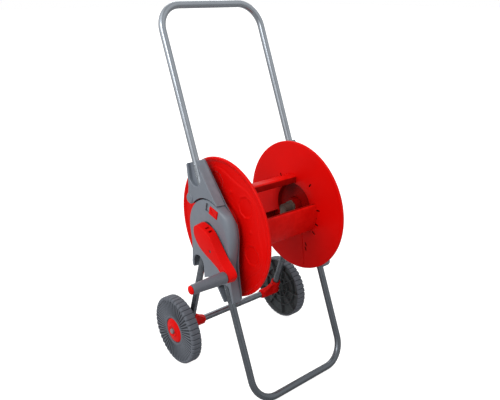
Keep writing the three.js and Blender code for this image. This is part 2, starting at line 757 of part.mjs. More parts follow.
// One channel-shaped strip of the drum's core, its middle at the angle given.
function slat(middleDeg) {
  const half = SLAT_WIDTH_DEG / 2;
  const corner = 4; // degrees taken by the rounding at each edge
  const wall = THREE.MathUtils.radToDeg(SLAT_WALL / SLAT_LIP_RADIUS);
  const inner = SLAT_RADIUS - SLAT_WALL;
  const at = (radius, deg) => arc(0, 0, radius, middleDeg + deg, middleDeg + deg, 1)[0];
  const outline = [
    at(SLAT_LIP_RADIUS, -half),
    at(SLAT_RADIUS - 5, -half),
    at(SLAT_RADIUS - 1.4, -half + corner * 0.3),
    ...arc(0, 0, SLAT_RADIUS, middleDeg - half + corner, middleDeg + half - corner, 8),
    at(SLAT_RADIUS - 1.4, half - corner * 0.3),
    at(SLAT_RADIUS - 5, half),
    at(SLAT_LIP_RADIUS, half),
    at(SLAT_LIP_RADIUS, half - wall),
    at(inner - 4, half - wall),
    ...arc(0, 0, inner, middleDeg + half - corner - wall, middleDeg - half + corner + wall, 8),
    at(inner - 4, -half + wall),
    at(SLAT_LIP_RADIUS, -half + wall),
  ];
  return plate(outline, -FLANGE_INNER_X + GAP, FLANGE_INNER_X - GAP);
}

const HUB_SEAT_X = FLANGE_INNER_X + DISH_DEPTH + 2.7 + GAP;

// The journal that carries a flange in its bush; the crank side ends in a square.
function driveHub() {
  const body = turned(
    [
      [0, HUB_SEAT_X - 16],
      [23, HUB_SEAT_X - 16],
      [23, HUB_SEAT_X],
      [42, HUB_SEAT_X],
      [42, HUB_SEAT_X + 3],
      [JOURNAL_RADIUS, HUB_SEAT_X + 3],
      [JOURNAL_RADIUS, CASE_OUTER_X + 2],
      [0, CASE_OUTER_X + 2],
    ],
    JOURNAL_SIDES,
  );
  return union(body, block(CASE_OUTER_X, CRANK_OUTER_X - 5, -9, 9, -9, 9));
}

function waterHub() {
  return turned(
    [
      [WATER_BORE_RADIUS, HUB_SEAT_X - 20],
      [23, HUB_SEAT_X - 20],
      [23, HUB_SEAT_X],
      [42, HUB_SEAT_X],
      [42, HUB_SEAT_X + 3],
      [JOURNAL_RADIUS, HUB_SEAT_X + 3],
      [JOURNAL_RADIUS, CASE_OUTER_X + 2],
      [WATER_BORE_RADIUS, CASE_OUTER_X + 2],
    ],
    JOURNAL_SIDES,
  );
}

// The elbow inside the drum that the hose's inner end is pushed on.
function hoseConnector() {
  const seat = HUB_SEAT_X - 20 - GAP;
  const knee = place(seat - CONNECTOR_NECK, 0, 0);
  const along = (share) => knee.clone().addScaledVector(CONNECTOR_SPOUT, share);
  const outside = union(
    rodX(knee.x - 4, seat, 0, 0, CONNECTOR_RADIUS, 16),
    rodX(seat - 5, seat, 0, 0, CONNECTOR_RADIUS + 5, 6),
    rod(knee, along(1), SPOUT_RADIUS, 16),
    rod(along(0.55), along(0.72), SPOUT_RADIUS + 2, 16),
  );
  const neckBore = rodX(knee.x, seat + 1, 0, 0, CONNECTOR_BORE, 10);
  return cut(outside, neckBore, rod(knee, along(1.1), CONNECTOR_BORE - 1, 10));
}

// ---------------------------------------------------------------- water inlet, on the +X side

function inletPipe() {
  const inner = HUB_SEAT_X - 8;
  const elbow = place(INLET_ELBOW_X, 0, 0);
  const pipe = union(
    rodX(inner, CASE_OUTER_X + 6, 0, 0, WATER_BORE_RADIUS - 1.2, 16),
    rodX(CASE_OUTER_X + 2.6, INLET_END_X, 0, 0, INLET_RADIUS, 16),
    rod(elbow, place(INLET_ELBOW_X, 0, -INLET_DROP), INLET_RADIUS - 2.5, 16),
  );
  const bore = rodX(inner - 1, INLET_ELBOW_X, 0, 0, INLET_BORE, 10);
  const outlet = rod(elbow, place(INLET_ELBOW_X, 0, -INLET_DROP - 1), INLET_BORE + 0.5, 10);
  return cut(pipe, bore, outlet);
}

function inletNipple() {
  const at = (drop) => place(INLET_ELBOW_X, 0, -drop);
  const nut = rod(at(INLET_DROP + GAP), at(INLET_DROP + 8), INLET_RADIUS, 8);
  const stem = rod(at(INLET_DROP + 7), at(NIPPLE_DROP), NIPPLE_RADIUS, 16);
  const barb = rod(at(NIPPLE_DROP - 10), at(NIPPLE_DROP - 7), NIPPLE_RADIUS + 1.6, 16);
  const bore = rod(at(INLET_DROP - 1), at(NIPPLE_DROP + 1), INLET_BORE - 0.4, 10);
  return cut(union(nut, stem, barb), bore);
}

function sealRing() {
  const sealX = HUB_SEAT_X + 30;
  const section = arc(WATER_BORE_RADIUS - 0.6, sealX, 0.45, 30, 390, 6).slice(1);
  return turned(section.map((spot) => [spot.x, spot.y]), 20);
}

// ---------------------------------------------------------------- crank and grip, mirrored from +X

const crankPoint = (length, across = 0) => {
  const along = point(Math.cos(CRANK_ANGLE), Math.sin(CRANK_ANGLE));
  return point(along.x * length - along.y * across, along.y * length + along.x * across);
};

function crankArm() {
  const hubTurn = THREE.MathUtils.radToDeg(CRANK_ANGLE);
  const outline = [
    ...arc(0, 0, CRANK_HUB_RADIUS, hubTurn + 75, hubTurn + 285, 14),
    crankPoint(CRANK_LENGTH - 16, -18),
    crankPoint(CRANK_LENGTH + 11, -15),
    crankPoint(CRANK_LENGTH + 15, -10),
    crankPoint(CRANK_LENGTH + 15, 10),
    crankPoint(CRANK_LENGTH + 11, 15),
    crankPoint(CRANK_LENGTH - 16, 18),
  ];
  const body = plate(outline, CRANK_INNER_X, CRANK_OUTER_X, 3);
  const pin = crankPoint(CRANK_LENGTH);
  const bolt = crankPoint(CRANK_SCREW_REACH);
  return cut(
    body,
    block(CRANK_INNER_X - 1, CRANK_OUTER_X - 4.5, -9.3, 9.3, -9.3, 9.3),
    rodX(CRANK_INNER_X - 1, CRANK_OUTER_X + 1, pin.x, pin.y, GRIP_PIN_RADIUS + GAP, 12),
    rodX(CRANK_OUTER_X - 3, CRANK_OUTER_X + 1, bolt.x, bolt.y, 3.5, 10),
    rodX(CRANK_OUTER_X - 12, CRANK_OUTER_X, bolt.x, bolt.y, 1.8, 8),
  );
}

function crankScrew() {
  const bolt = crankPoint(CRANK_SCREW_REACH);
  const profile = [
    [0, CRANK_OUTER_X - 11.5],
    [1.5, CRANK_OUTER_X - 10],
    [1.5, CRANK_OUTER_X - 2.7],
    [3.1, CRANK_OUTER_X - 2.7],
    [3.1, CRANK_OUTER_X - 0.8],
    [0, CRANK_OUTER_X - 0.8],
  ];
  return turned(profile, 8, bolt.x, bolt.y);
}

function gripPin() {
  const pin = crankPoint(CRANK_LENGTH);
  const profile = [
    [0, CRANK_INNER_X + 1],
    [GRIP_PIN_RADIUS, CRANK_INNER_X + 1],
    [GRIP_PIN_RADIUS, CRANK_OUTER_X + 0.2],
    [GRIP_PIN_RADIUS + 3.5, CRANK_OUTER_X + 0.2],
    [GRIP_PIN_RADIUS + 3.5, GRIP_ROOT_X - GAP],
    [GRIP_PIN_RADIUS, GRIP_ROOT_X - GAP],
    [GRIP_PIN_RADIUS, GRIP_END_X + 2],
    [0, GRIP_END_X + 2],
  ];
  return turned(profile, 16, pin.x, pin.y);
}

function gripSleeve() {
  const pin = crankPoint(CRANK_LENGTH);
  const bore = overFlats(GRIP_PIN_RADIUS + RUN, GRIP_SIDES);
  const profile = [
    [bore, GRIP_ROOT_X],
    [12.6, GRIP_ROOT_X],
    [13.6, GRIP_ROOT_X + 2],
    [13.2, GRIP_ROOT_X + 40],
    [11.6, GRIP_END_X - 3],
    [10.6, GRIP_END_X - 0.8],
    [bore, GRIP_END_X - 0.8],
  ];
  return turned(profile, GRIP_SIDES, pin.x, pin.y);
}

function gripCap() {
  const pin = crankPoint(CRANK_LENGTH);
  const profile = [
    [0, GRIP_END_X + 2 + GAP],
    [GRIP_PIN_RADIUS + GAP, GRIP_END_X + 2 + GAP],
    [GRIP_PIN_RADIUS + GAP, GRIP_END_X],
    [10.4, GRIP_END_X],
    [10.4, GRIP_END_X + 2],
    [8.6, GRIP_END_X + 4.8],
    [4, GRIP_CAP_END_X],
    [0, GRIP_CAP_END_X],
  ];
  return turned(profile, 16, pin.x, pin.y);
}

// ---------------------------------------------------------------- assembly

const cart = new THREE.Group();
cart.position.x = (GRIP_CAP_END_X - PUSH_CAP_END_X) / 2;
cart.position.y = -(legY(HANDLE_TOP_Z) + legY(FOOT_BAR_Z)) / 2;

cart.add(
  piece("handle_tube", handleTube(), TUBE_PAINT),
  piece("stand_tube", standTube(), TUBE_PAINT),
  piece("axle_tube", axleTube(), TUBE_PAINT),
  piece("axle_rod", rodX(-AXLE_END_X, AXLE_END_X, AXLE_Y, AXLE_Z, AXLE_RADIUS), ZINC_STEEL),
);

// Everything that both sides have is drawn at +X; the left side is its mirror image.
for (const side of ["left", "right"]) {
  const half = new THREE.Group();
  half.scale.x = side === "left" ? -1 : 1;
  half.add(
    piece("strut_" + side, strutTube(), TUBE_PAINT),
    piece("axle_bracket_" + side, axleBracket(), RED_PLASTIC),
    piece("bracket_screw_" + side, bracketScrew(), ZINC_STEEL),
    piece("wheel_" + side, wheel(), WHEEL_PLASTIC),
    piece("hub_cap_" + side, hubCap(), RED_PLASTIC),
    piece("axle_push_cap_" + side, pushCap(), GREY_PLASTIC),
    piece("axle_washer_" + side, washer(), ZINC_STEEL),
  );
  for (const [name, y, z] of TUBE_SCREWS) {
    half.add(piece(name + "_" + side, panelScrew(y, z, TUBE_SCREW_RADIUS, TUBE_X + 7), ZINC_STEEL));
  }

  const head = new THREE.Group();
  head.position.z = DRUM_Z;
  head.add(
    piece("lower_casing_" + side, lowerCasing(side === "left"), GREY_PLASTIC),
    piece("upper_cover_" + side, upperCover(), GREY_PLASTIC),
    piece("inner_panel_" + side, innerPanel(), GREY_PLASTIC),
    piece("drum_bush_" + side, bush(), DARK_PLASTIC),
    piece("drum_flange_" + side, flange(), RED_PLASTIC),
  );
  for (const [name, y, z] of CASE_SCREWS) {
    const body = panelScrew(y, z, CASE_SCREW_RADIUS, CASE_OUTER_X - 8);
    head.add(piece(name + "_" + side, body, ZINC_STEEL));
  }
  if (side === "left") {
    head.add(
      piece("lock_slider", lockSlider(), RED_PLASTIC),
      piece("lock_clip", lockClip(), GREY_PLASTIC),
      piece("drive_hub", driveHub(), DARK_PLASTIC),
      piece("crank_arm", crankArm(), RED_PLASTIC),
      piece("crank_screw", crankScrew(), ZINC_STEEL),
      piece("grip_pin", gripPin(), RED_PLASTIC),
      piece("grip_sleeve", gripSleeve(), GREY_PLASTIC),
      piece("grip_end_cap", gripCap(), RED_PLASTIC),
    );
  } else {
    head.add(
      piece("water_hub", waterHub(), DARK_PLASTIC),
      piece("hose_connector", hoseConnector(), GREY_PLASTIC),
      piece("inlet_elbow", inletPipe(), GREY_PLASTIC),
      piece("inlet_nipple", inletNipple(), GREY_PLASTIC),
      piece("inlet_seal", sealRing(), SEAL_RUBBER),
    );
  }
  half.add(head);
  cart.add(half);
}

const core = new THREE.Group();
core.position.z = DRUM_Z;
for (let i = 0; i < SLAT_COUNT; i++) {
  const middle = FIRST_SLAT_DEG + (i * 360) / SLAT_COUNT;
  core.add(piece("core_slat_" + (i + 1), slat(middle), RED_PLASTIC));
}
cart.add(core);

export default cart;
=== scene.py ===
"""Looks of a garden hose reel cart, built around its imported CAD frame.

Shapes are worked out in millimetres in the cart's own frame: x from the plane halfway between the
legs, y towards the wheels, z up. Each shape is drawn about a centre taken from the CAD frame, and
goes into the row frame in metres at the end. What both sides have is drawn at +x and mirrored.
"""

import json
import math

import bmesh
import bpy
import numpy as np
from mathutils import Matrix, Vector


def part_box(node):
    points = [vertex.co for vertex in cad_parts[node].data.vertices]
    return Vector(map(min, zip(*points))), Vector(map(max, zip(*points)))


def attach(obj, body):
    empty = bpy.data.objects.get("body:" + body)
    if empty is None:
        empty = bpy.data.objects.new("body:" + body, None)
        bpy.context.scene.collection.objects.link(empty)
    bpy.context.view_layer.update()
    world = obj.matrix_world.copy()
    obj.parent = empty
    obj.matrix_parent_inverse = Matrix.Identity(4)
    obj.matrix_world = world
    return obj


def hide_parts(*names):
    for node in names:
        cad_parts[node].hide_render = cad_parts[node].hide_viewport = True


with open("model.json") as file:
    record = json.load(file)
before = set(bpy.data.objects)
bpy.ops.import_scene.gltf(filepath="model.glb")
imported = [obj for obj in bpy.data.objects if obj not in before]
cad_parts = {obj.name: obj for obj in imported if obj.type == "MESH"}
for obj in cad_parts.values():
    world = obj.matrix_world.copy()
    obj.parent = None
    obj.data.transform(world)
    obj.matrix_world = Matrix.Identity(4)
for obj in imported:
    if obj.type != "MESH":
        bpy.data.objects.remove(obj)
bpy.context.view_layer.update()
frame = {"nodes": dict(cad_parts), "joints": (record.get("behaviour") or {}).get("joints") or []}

# ---------------------------------------------------------------- places from the CAD frame

MM = 0.001
SIDES = {"left": -1, "right": 1}
JOINTS = {joint["name"]: Vector(joint["pos_m"]) / MM for joint in frame["joints"] if "pos_m" in joint}


def box_mm(node):
    low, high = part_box(node)
    return low / MM, high / MM


STAND_LOW, STAND_HIGH = box_mm("stand_tube")
HANDLE_LOW, HANDLE_HIGH = box_mm("handle_tube")
MID_X = (STAND_LOW.x + STAND_HIGH.x) / 2
DRUM = Vector((MID_X, JOINTS["drum_spin"].y, JOINTS["drum_spin"].z))
AXLE = Vector((MID_X, JOINTS["wheel_left_spin"].y, JOINTS["wheel_left_spin"].z))
GRIP = Vector((MID_X, JOINTS["grip_spin"].y, JOINTS["grip_spin"].z))
GROUND = Vector((MID_X, 0, 0))

TUBE_R = 8.83
TUBE_WALL = 1.2
TUBE_X = STAND_HIGH.x - MID_X - 9
BEND_R = 61
FOOT = Vector((0, STAND_LOW.y + 9, TUBE_R))
TOP = Vector((0, HANDLE_HIGH.y - 9, HANDLE_HIGH.z - TUBE_R))
LEG_SLOPE = (TOP.y - FOOT.y) / (TOP.z - FOOT.z)


def leg_point(side, z):
    return Vector((side * TUBE_X, FOOT.y + (z - FOOT.z) * LEG_SLOPE, z))


# ---------------------------------------------------------------- shapes: (vertices, faces)


def strip_faces(rows, columns, closed_rows=False, closed_columns=True):
    """Quads of a grid of rows x columns points, numbered row by row."""
    faces = []
    for i in range(rows if closed_rows else rows - 1):
        a, b = i * columns, ((i + 1) % rows) * columns
        for k in range(columns if closed_columns else columns - 1):
            m = (k + 1) % columns
            faces.append((a + k, a + m, b + m, b + k))
    return faces


def joined(*shapes):
    vertices, faces, count = [], [], 0
    for points, quads in shapes:
        vertices.append(np.asarray(points, float))
        faces += [tuple(i + count for i in quad) for quad in quads]
        count += len(points)
    return np.vstack(vertices), faces


def moved(shape, x=0.0, y=0.0, z=0.0):
    return np.asarray(shape[0], float) + (x, y, z), shape[1]


def mirrored(shape):
    return np.asarray(shape[0], float) * (-1, 1, 1), shape[1]


def rotated(shape, angle):
    """Turned about X."""
    points, faces = np.asarray(shape[0], float), shape[1]
    y = points[:, 1] * math.cos(angle) - points[:, 2] * math.sin(angle)
    z = points[:, 1] * math.sin(angle) + points[:, 2] * math.cos(angle)
    return np.column_stack([points[:, 0], y, z]), faces


def ring(radius, sides, y=0.0, z=0.0, start=0.0):
    angle = start + np.arange(sides) * 2 * math.pi / sides
    return np.column_stack([y + radius * np.cos(angle), z + radius * np.sin(angle)])


def turned(profile, sides=64, relief=None):
    """A solid of revolution about X from [radius, x] points, closed on itself or on the axis.
    relief(radius, x, angle) gives new radii and x for whole rings."""
    profile = np.asarray(profile, float)
    on_axis = profile[0, 0] == 0 and profile[-1, 0] == 0
    body = profile[1:-1] if on_axis else profile
    angle = np.arange(sides) * 2 * math.pi / sides
    radius, x = (np.repeat(body[:, i][:, None], sides, 1) for i in (0, 1))
    if relief:
        radius, x = relief(radius, x, np.broadcast_to(angle, radius.shape))
    points = np.stack([x, radius * np.cos(angle), radius * np.sin(angle)], 2).reshape(-1, 3)
    faces = strip_faces(len(body), sides, closed_rows=not on_axis)
    if on_axis:
        count = len(points)
        points = np.vstack([points, [profile[0, 1], 0, 0], [profile[-1, 1], 0, 0]])
        last = (len(body) - 1) * sides
        for k in range(sides):
            m = (k + 1) % sides
            faces += [(m, k, count), (last + k, last + m, count + 1)]
    return points, faces


def rounded_corner(start, corner, end, steps):
    """Points on a curve from start to end that leaves and arrives along the lines to the corner."""
    return [(1 - t) ** 2 * start + 2 * t * (1 - t) * corner + t * t * end
            for t in np.linspace(0, 1, steps + 1)]


def softened(profile, radius=0.8, steps=3):
    """The same profile with its corners rounded, by at most this radius."""
    closed = profile[0][0] != 0
    points = [np.array(p, float) for p in profile]
    rounded = []
    for i, corner in enumerate(points):
        if not closed and i in (0, len(points) - 1):
            rounded.append(corner)
            continue
        before, after = points[i - 1] - corner, points[(i + 1) % len(points)] - corner
        reach = min(radius, np.linalg.norm(before) * 0.45, np.linalg.norm(after) * 0.45)
        start = corner + before / np.linalg.norm(before) * reach
        end = corner + after / np.linalg.norm(after) * reach
        rounded += rounded_corner(start, corner, end, steps)
    return rounded


def bent_path(corners, radius, steps=12):
    """A line through corners with round bends, as points."""
    points = [corners[0]]
    for before, corner, after in zip(corners, corners[1:], corners[2:]):
        come, leave = (corner - before).normalized(), (after - corner).normalized()
        angle = come.angle(leave)
        start = corner - come * radius * math.tan(angle / 2)
        inwards = (leave - come * math.cos(angle)).normalized()
        for k in range(steps + 1):
            turn = angle * k / steps
            ahead, aside = radius * math.sin(turn), radius * (1 - math.cos(turn))
            points.append(start + come * ahead + inwards * aside)
    return points + [corners[-1]]


def swept(path, section, closed=True):
    """A section of (a, b) points carried along a path that lies in one plane."""
    path = [Vector(p) for p in path]
    last = len(path) - 1
    along = [(path[min(i + 1, last)] - path[max(i - 1, 0)]).normalized() for i in range(last + 1)]
    flat = Vector((0, 0, 0))
    for before, after in zip(along, along[1:]):
        flat += before.cross(after)
    normal = flat.normalized() if flat.length > 1e-6 else along[0].orthogonal().normalized()
    points = []
    for place, direction in zip(path, along):
        side = direction.cross(normal).normalized()
        points += [place + side * a + normal * b for a, b in section]
    return np.array([list(p) for p in points]), strip_faces(len(path), len(section))


def pipe(path, radius=TUBE_R, wall=TUBE_WALL, sides=40):
    """A hollow tube with rolled ends."""
    outer, outer_faces = swept(path, ring(radius, sides))
    inner, inner_faces = swept(path, ring(radius - wall, sides))
    count, last = len(outer), len(outer) - sides
    ends = []
    for k in range(sides):
        m = (k + 1) % sides
        ends.append((k, m, count + m, count + k))
        ends.append((last + m, last + k, count + last + k, count + last + m))
    turned_in = [tuple(reversed([i + count for i in face])) for face in inner_faces]
    return np.vstack([outer, inner]), outer_faces + turned_in + ends


def loft(layers):
    """Outlines at rising x, joined into one closed solid. layers is a list of (x, outline)."""
    count = len(layers[0][1])
    points = np.vstack([np.column_stack([np.full(count, x), outline]) for x, outline in layers])
    faces = strip_faces(len(layers), count)
    last = (len(layers) - 1) * count
    faces.append(tuple(range(count))[::-1])
    faces.append(tuple(last + i for i in range(count)))
    return points, faces


def block(from_x, to_x, from_y, to_y, from_z, to_z):
    return loft([(x, np.array([(from_y, from_z), (to_y, from_z), (to_y, to_z), (from_y, to_z)], float))
                 for x in (from_x, to_x)])


# ---------------------------------------------------------------- outlines: arrays of (y, z)


def arc(y, z, radius, from_deg, to_deg, steps):
    angle = np.radians(np.linspace(from_deg, to_deg, steps + 1))
    return [(y + radius * math.cos(a), z + radius * math.sin(a)) for a in angle]


def smooth(points, steps):
    """A Catmull-Rom curve through the points."""
    p = [np.array(q, float) for q in points]
    p = [2 * p[0] - p[1], *p, 2 * p[-1] - p[-2]]
    curve = []
    for a, b, c, d in zip(p, p[1:], p[2:], p[3:]):
        for t in np.linspace(0, 1, steps, endpoint=False):
            curve.append(0.5 * (2 * b + (c - a) * t + (2 * a - 5 * b + 4 * c - d) * t * t
                                + (3 * b - a - 3 * c + d) * t ** 3))
    return [tuple(q) for q in curve] + [tuple(p[-2])]


def filleted(points, radius, steps=5):
    """The outline with one radius on each of its corners that turns by more than 25 degrees."""
    points = [np.array(p, float) for p in points]
    result = []
    for i, corner in enumerate(points):
        before, after = points[i - 1] - corner, points[(i + 1) % len(points)] - corner
        u, v = before / np.linalg.norm(before), after / np.linalg.norm(after)
        turn = math.pi - math.acos(np.clip(u @ v, -1, 1))
        if turn < math.radians(25):
            result.append(corner)
            continue
        longest = min(np.linalg.norm(before) * 0.48, np.linalg.norm(after) * 0.48)
        reach = min(radius * math.tan(turn / 2), longest)
        result += rounded_corner(corner + u * reach, corner, corner + v * reach, steps)
    return np.array(result)


def inset(outline, distance):
    """The outline moved inwards by a distance, one for all points or one for each."""
    p = np.asarray(outline, float)
    before, after = p - np.roll(p, 1, 0), np.roll(p, -1, 0) - p
    before /= np.maximum(np.linalg.norm(before, axis=1, keepdims=True), 1e-9)
    after /= np.maximum(np.linalg.norm(after, axis=1, keepdims=True), 1e-9)
    across = np.column_stack([-before[:, 1] - after[:, 1], before[:, 0] + after[:, 0]])
    across /= np.maximum(np.linalg.norm(across, axis=1, keepdims=True), 1e-9)
    share = np.clip(-across[:, 0] * before[:, 1] + across[:, 1] * before[:, 0], 0.5, 1)
    q = np.roll(p, -1, 0)
    turning = np.sign(np.sum(p[:, 0] * q[:, 1] - q[:, 0] * p[:, 1]))
    return p + across * (turning * np.broadcast_to(distance, len(p)) / share)[:, None]


# ---------------------------------------------------------------- objects


def solid(name, shape, centre=GROUND, side=1):
    """A closed mesh object from a shape drawn about a centre, faces outwards."""
    points, faces = mirrored(shape) if side < 0 else shape
    mesh = bpy.data.meshes.new(name)
    mesh.from_pydata([tuple(p) for p in (np.asarray(points) + np.array(centre)) * MM], [], faces)
    tidy = bmesh.new()
    tidy.from_mesh(mesh)
    bmesh.ops.remove_doubles(tidy, verts=tidy.verts, dist=1e-6)
    bmesh.ops.recalc_face_normals(tidy, faces=tidy.faces)
    tidy.to_mesh(mesh)
    tidy.free()
    made = bpy.data.objects.new(name, mesh)
    bpy.context.scene.collection.objects.link(made)
    return made


def applied(made):
    """The object with its modifiers made part of its mesh."""
    graph = bpy.context.evaluated_depsgraph_get()
    mesh = bpy.data.meshes.new_from_object(made.evaluated_get(graph))
    made.modifiers.clear()
    made.data = mesh
    return made


def booled(made, tools, operation):
    for tool in tools:
        modifier = made.modifiers.new("shape", "BOOLEAN")
        modifier.object = tool
        modifier.operation = operation
        modifier.solver = "EXACT"
    applied(made)
    for tool in tools:
        bpy.data.objects.remove(tool)
    return made


def carved(made, *tools):
    return booled(made, tools, "DIFFERENCE")


def fused(made, *tools):
    return booled(made, tools, "UNION")


def moulded(made, voxel=0.9, rounds=3):
    """Remeshed and smoothed, so that joined shapes meet in soft fillets."""
    remesh = made.modifiers.new("remesh", "REMESH")
    remesh.mode = "VOXEL"
    remesh.voxel_size = voxel * MM
    relax = made.modifiers.new("relax", "SMOOTH")
    relax.factor = 0.5
    relax.iterations = rounds
    return applied(made)


def dressed(made, material, body, slot, *nodes, sharp=40):
    """Shading, material, body and the CAD nodes that the piece stands for."""
    made.data.shade_smooth()
    made.data.set_sharp_from_angle(angle=math.radians(sharp))
    made.data.materials.clear()
    made.data.materials.append(material)
    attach(made, body)
    if nodes:
        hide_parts(*nodes)
    return made


# ---------------------------------------------------------------- materials


def linear(colour):
    """A six-digit sRGB colour as linear RGBA."""
    parts = [int(colour[i:i + 2], 16) / 255 for i in (0, 2, 4)]
    return [p / 12.92 if p <= 0.04045 else ((p + 0.055) / 1.055) ** 2.4 for p in parts] + [1.0]


def surface(name, colour, edge_wear_highlight_colour, roughness, metallic=0.0, coat=0.0, gloss=0.5, mottle=0.5, grain=1400.0,
            grain_height=0.00004, wave_height=0.0):
    """Moulded or painted surface: soft colour drift, fine grain, lighter edges that are part wear and part
    painted highlight, uneven gloss.
    """
    material = bpy.data.materials.new(name)
    material.use_nodes = True
    nodes, links = material.node_tree.nodes, material.node_tree.links
    shader = nodes["Principled BSDF"]
    shader.inputs["Metallic"].default_value = metallic
    shader.inputs["Specular IOR Level"].default_value = gloss
    shader.inputs["Coat Weight"].default_value = coat
    shader.inputs["Coat Roughness"].default_value = 0.2
    place = nodes.new("ShaderNodeTexCoord")

    def noise(scale, detail):
        node = nodes.new("ShaderNodeTexNoise")
        node.inputs["Scale"].default_value = scale
        node.inputs["Detail"].default_value = detail
        links.new(place.outputs["Object"], node.inputs["Vector"])
        return node.outputs["Fac"]

    def remap(value, from_low, from_high, to_low, to_high):
        node = nodes.new("ShaderNodeMapRange")
        for socket, number in zip(("From Min", "From Max", "To Min", "To Max"),
                                  (from_low, from_high, to_low, to_high)):
            node.inputs[socket].default_value = number
        links.new(value, node.inputs["Value"])
        return node.outputs["Result"]

    def mix(share, first, second):
        node = nodes.new("ShaderNodeMix")
        node.data_type = "RGBA"
        links.new(share, node.inputs["Factor"])
        for socket, value in zip(("A", "B"), (first, second)):
            target = next(s for s in node.inputs if s.name == socket and s.type == "RGBA")
            if isinstance(value, list):
                target.default_value = value
            else:
                links.new(value, target)
        return next(s for s in node.outputs if s.type == "RGBA")

    base = linear(colour)
    deep = [c * 0.86 for c in base[:3]] + [1.0]
    drifting = mix(remap(noise(14.0, 3.0), 0.35, 0.65, 0.0, mottle), base, deep)
    bend = nodes.new("ShaderNodeNewGeometry")
    # Convex edges take the lighter edge colour: partly wear, partly a painted highlight along creases.
    wear_highlight_share = nodes.new("ShaderNodeMath")
    wear_highlight_share.operation = "MULTIPLY"
    links.new(remap(bend.outputs["Pointiness"], 0.53, 0.62, 0.0, 0.55), wear_highlight_share.inputs[0])
    links.new(remap(noise(60.0, 2.0), 0.4, 0.6, 0.3, 1.0), wear_highlight_share.inputs[1])
    links.new(mix(wear_highlight_share.outputs["Value"], drifting, linear(edge_wear_highlight_colour)), shader.inputs["Base Color"])
    uneven = remap(noise(45.0, 4.0), 0.3, 0.7, roughness - 0.05, roughness + 0.06)
    links.new(uneven, shader.inputs["Roughness"])
    fine = nodes.new("ShaderNodeBump")
    fine.inputs["Strength"].default_value = 0.6
    fine.inputs["Distance"].default_value = grain_height
    links.new(noise(grain, 2.0), fine.inputs["Height"])
    last = fine
    if wave_height:
        last = nodes.new("ShaderNodeBump")
        last.inputs["Strength"].default_value = 0.5
        last.inputs["Distance"].default_value = wave_height
        links.new(noise(22.0, 1.0), last.inputs["Height"])
        links.new(fine.outputs["Normal"], last.inputs["Normal"])
    links.new(last.outputs["Normal"], shader.inputs["Normal"])
    return material


GREY = surface("grey_plastic", "6a7079", "858b93", 0.38, gloss=0.4, wave_height=0.0004)
PANEL_GREY = surface("panel_plastic", "5c626b", "747a83", 0.5, gloss=0.3)
DARK = surface("dark_plastic", "33373c", "4c5157", 0.5, gloss=0.3)
RED = surface("red_plastic", "cc0805", "e81d16", 0.36, gloss=0.06, mottle=0.35, wave_height=0.0003)
# A darker copy of the red: painted shade for the drum's inside faces and the water hub.
RED_PAINTED_SHADE = surface("red_inside_painted_shade", "8a0503", "a5100c", 0.42, gloss=0.05, mottle=0.35)
# Near-black red: painted shadow inside the flange's small pockets.
POCKET_PAINTED_SHADE = surface("pocket_painted_shade", "3c0403", "5a0806", 0.6, gloss=0.05)
HANDLE_PAINT = surface("handle_paint", "949aa1", "a9aeb5", 0.22, metallic=0.85, grain=900.0,
                       grain_height=0.00001)
# A darker copy of the tube paint: painted shade for the stand tube, the struts and the axle tube.
SHADED_TUBE_PAINT = surface("tube_paint_painted_shade", "5d6268", "797e85", 0.25, metallic=0.8, grain=900.0,
                      grain_height=0.00001)
TYRE = surface("wheel_plastic", "5a5e66", "747981", 0.6, gloss=0.25, grain=1100.0, grain_height=0.00006)
# A darker copy of the wheel plastic: painted shade in the tread grooves and between the side ribs.
TYRE_RECESS_SHADE = surface("wheel_recess_painted_shade", "35383d", "4a4e54", 0.65, gloss=0.15, grain=1100.0)
# A darker copy of the wheel plastic: painted shade inside the wheel's hollow.
TYRE_HOLLOW_SHADE = surface("wheel_inside_painted_shade", "484d4f", "5c6164", 0.65, gloss=0.2, grain=1100.0,
                      grain_height=0.00006)
STEEL = surface("zinc_steel", "b4b7ba", "d0d2d4", 0.32, metallic=0.9, grain=700.0)
RUBBER = surface("seal_rubber", "1a1a1b", "2c2c2e", 0.7)
GRIP_GREY = surface("grip_plastic", "5a5e66", "777d86", 0.3, gloss=0.4)
CONNECTOR_GREY = surface("connector_plastic", "5e5149", "85776e", 0.5, gloss=0.3)
CAP_GREY = surface("cap_plastic", "7c7074", "978c8f", 0.45, gloss=0.3)


# ---------------------------------------------------------------- tubes

STRUT_SLOPE = 0.316
STRUT_FOOT_Y = -5.2  # from the axle, where the strut's line passes the axle's height
CRIMP = {"handle": 553.0, "stand": 268.0}  # heights of the oblong crimps in the legs


def strut_point(side, z):
    return Vector((side * TUBE_X, AXLE.y + STRUT_FOOT_Y - (z - AXLE.z) * STRUT_SLOPE, z))


def crimp(side, middle_z, length=34.0, width=9.0):
    """An oblong raised ring on the outward side of a leg."""
    half = (length - width) / 2
    ends = arc(0, half, width / 2, 0, 180, 10) + arc(0, -half, width / 2, 180, 360, 10)
    outline = [Vector((0, y, z)) for y, z in ends]
    lean = math.atan(LEG_SLOPE)
    centre = leg_point(side, middle_z)
    points, faces = [], []
    count = len(outline)
    for i, spot in enumerate(outline):
        ahead = (outline[(i + 1) % count] - outline[i - 1]).normalized()
        side_way = Vector((0, -ahead.z, ahead.y))
        for a, b in ring(1.0, 8):
            local = spot + side_way * a
            out = math.sqrt(max(0.0, TUBE_R ** 2 - local.y ** 2)) + b * 0.9
            y = local.y * math.cos(lean) + local.z * math.sin(lean)
            z = -local.y * math.sin(lean) + local.z * math.cos(lean)
            points.append((centre.x + side * out, centre.y + y, centre.z + z))
    return np.array(points), strip_faces(count, 8, closed_rows=True)


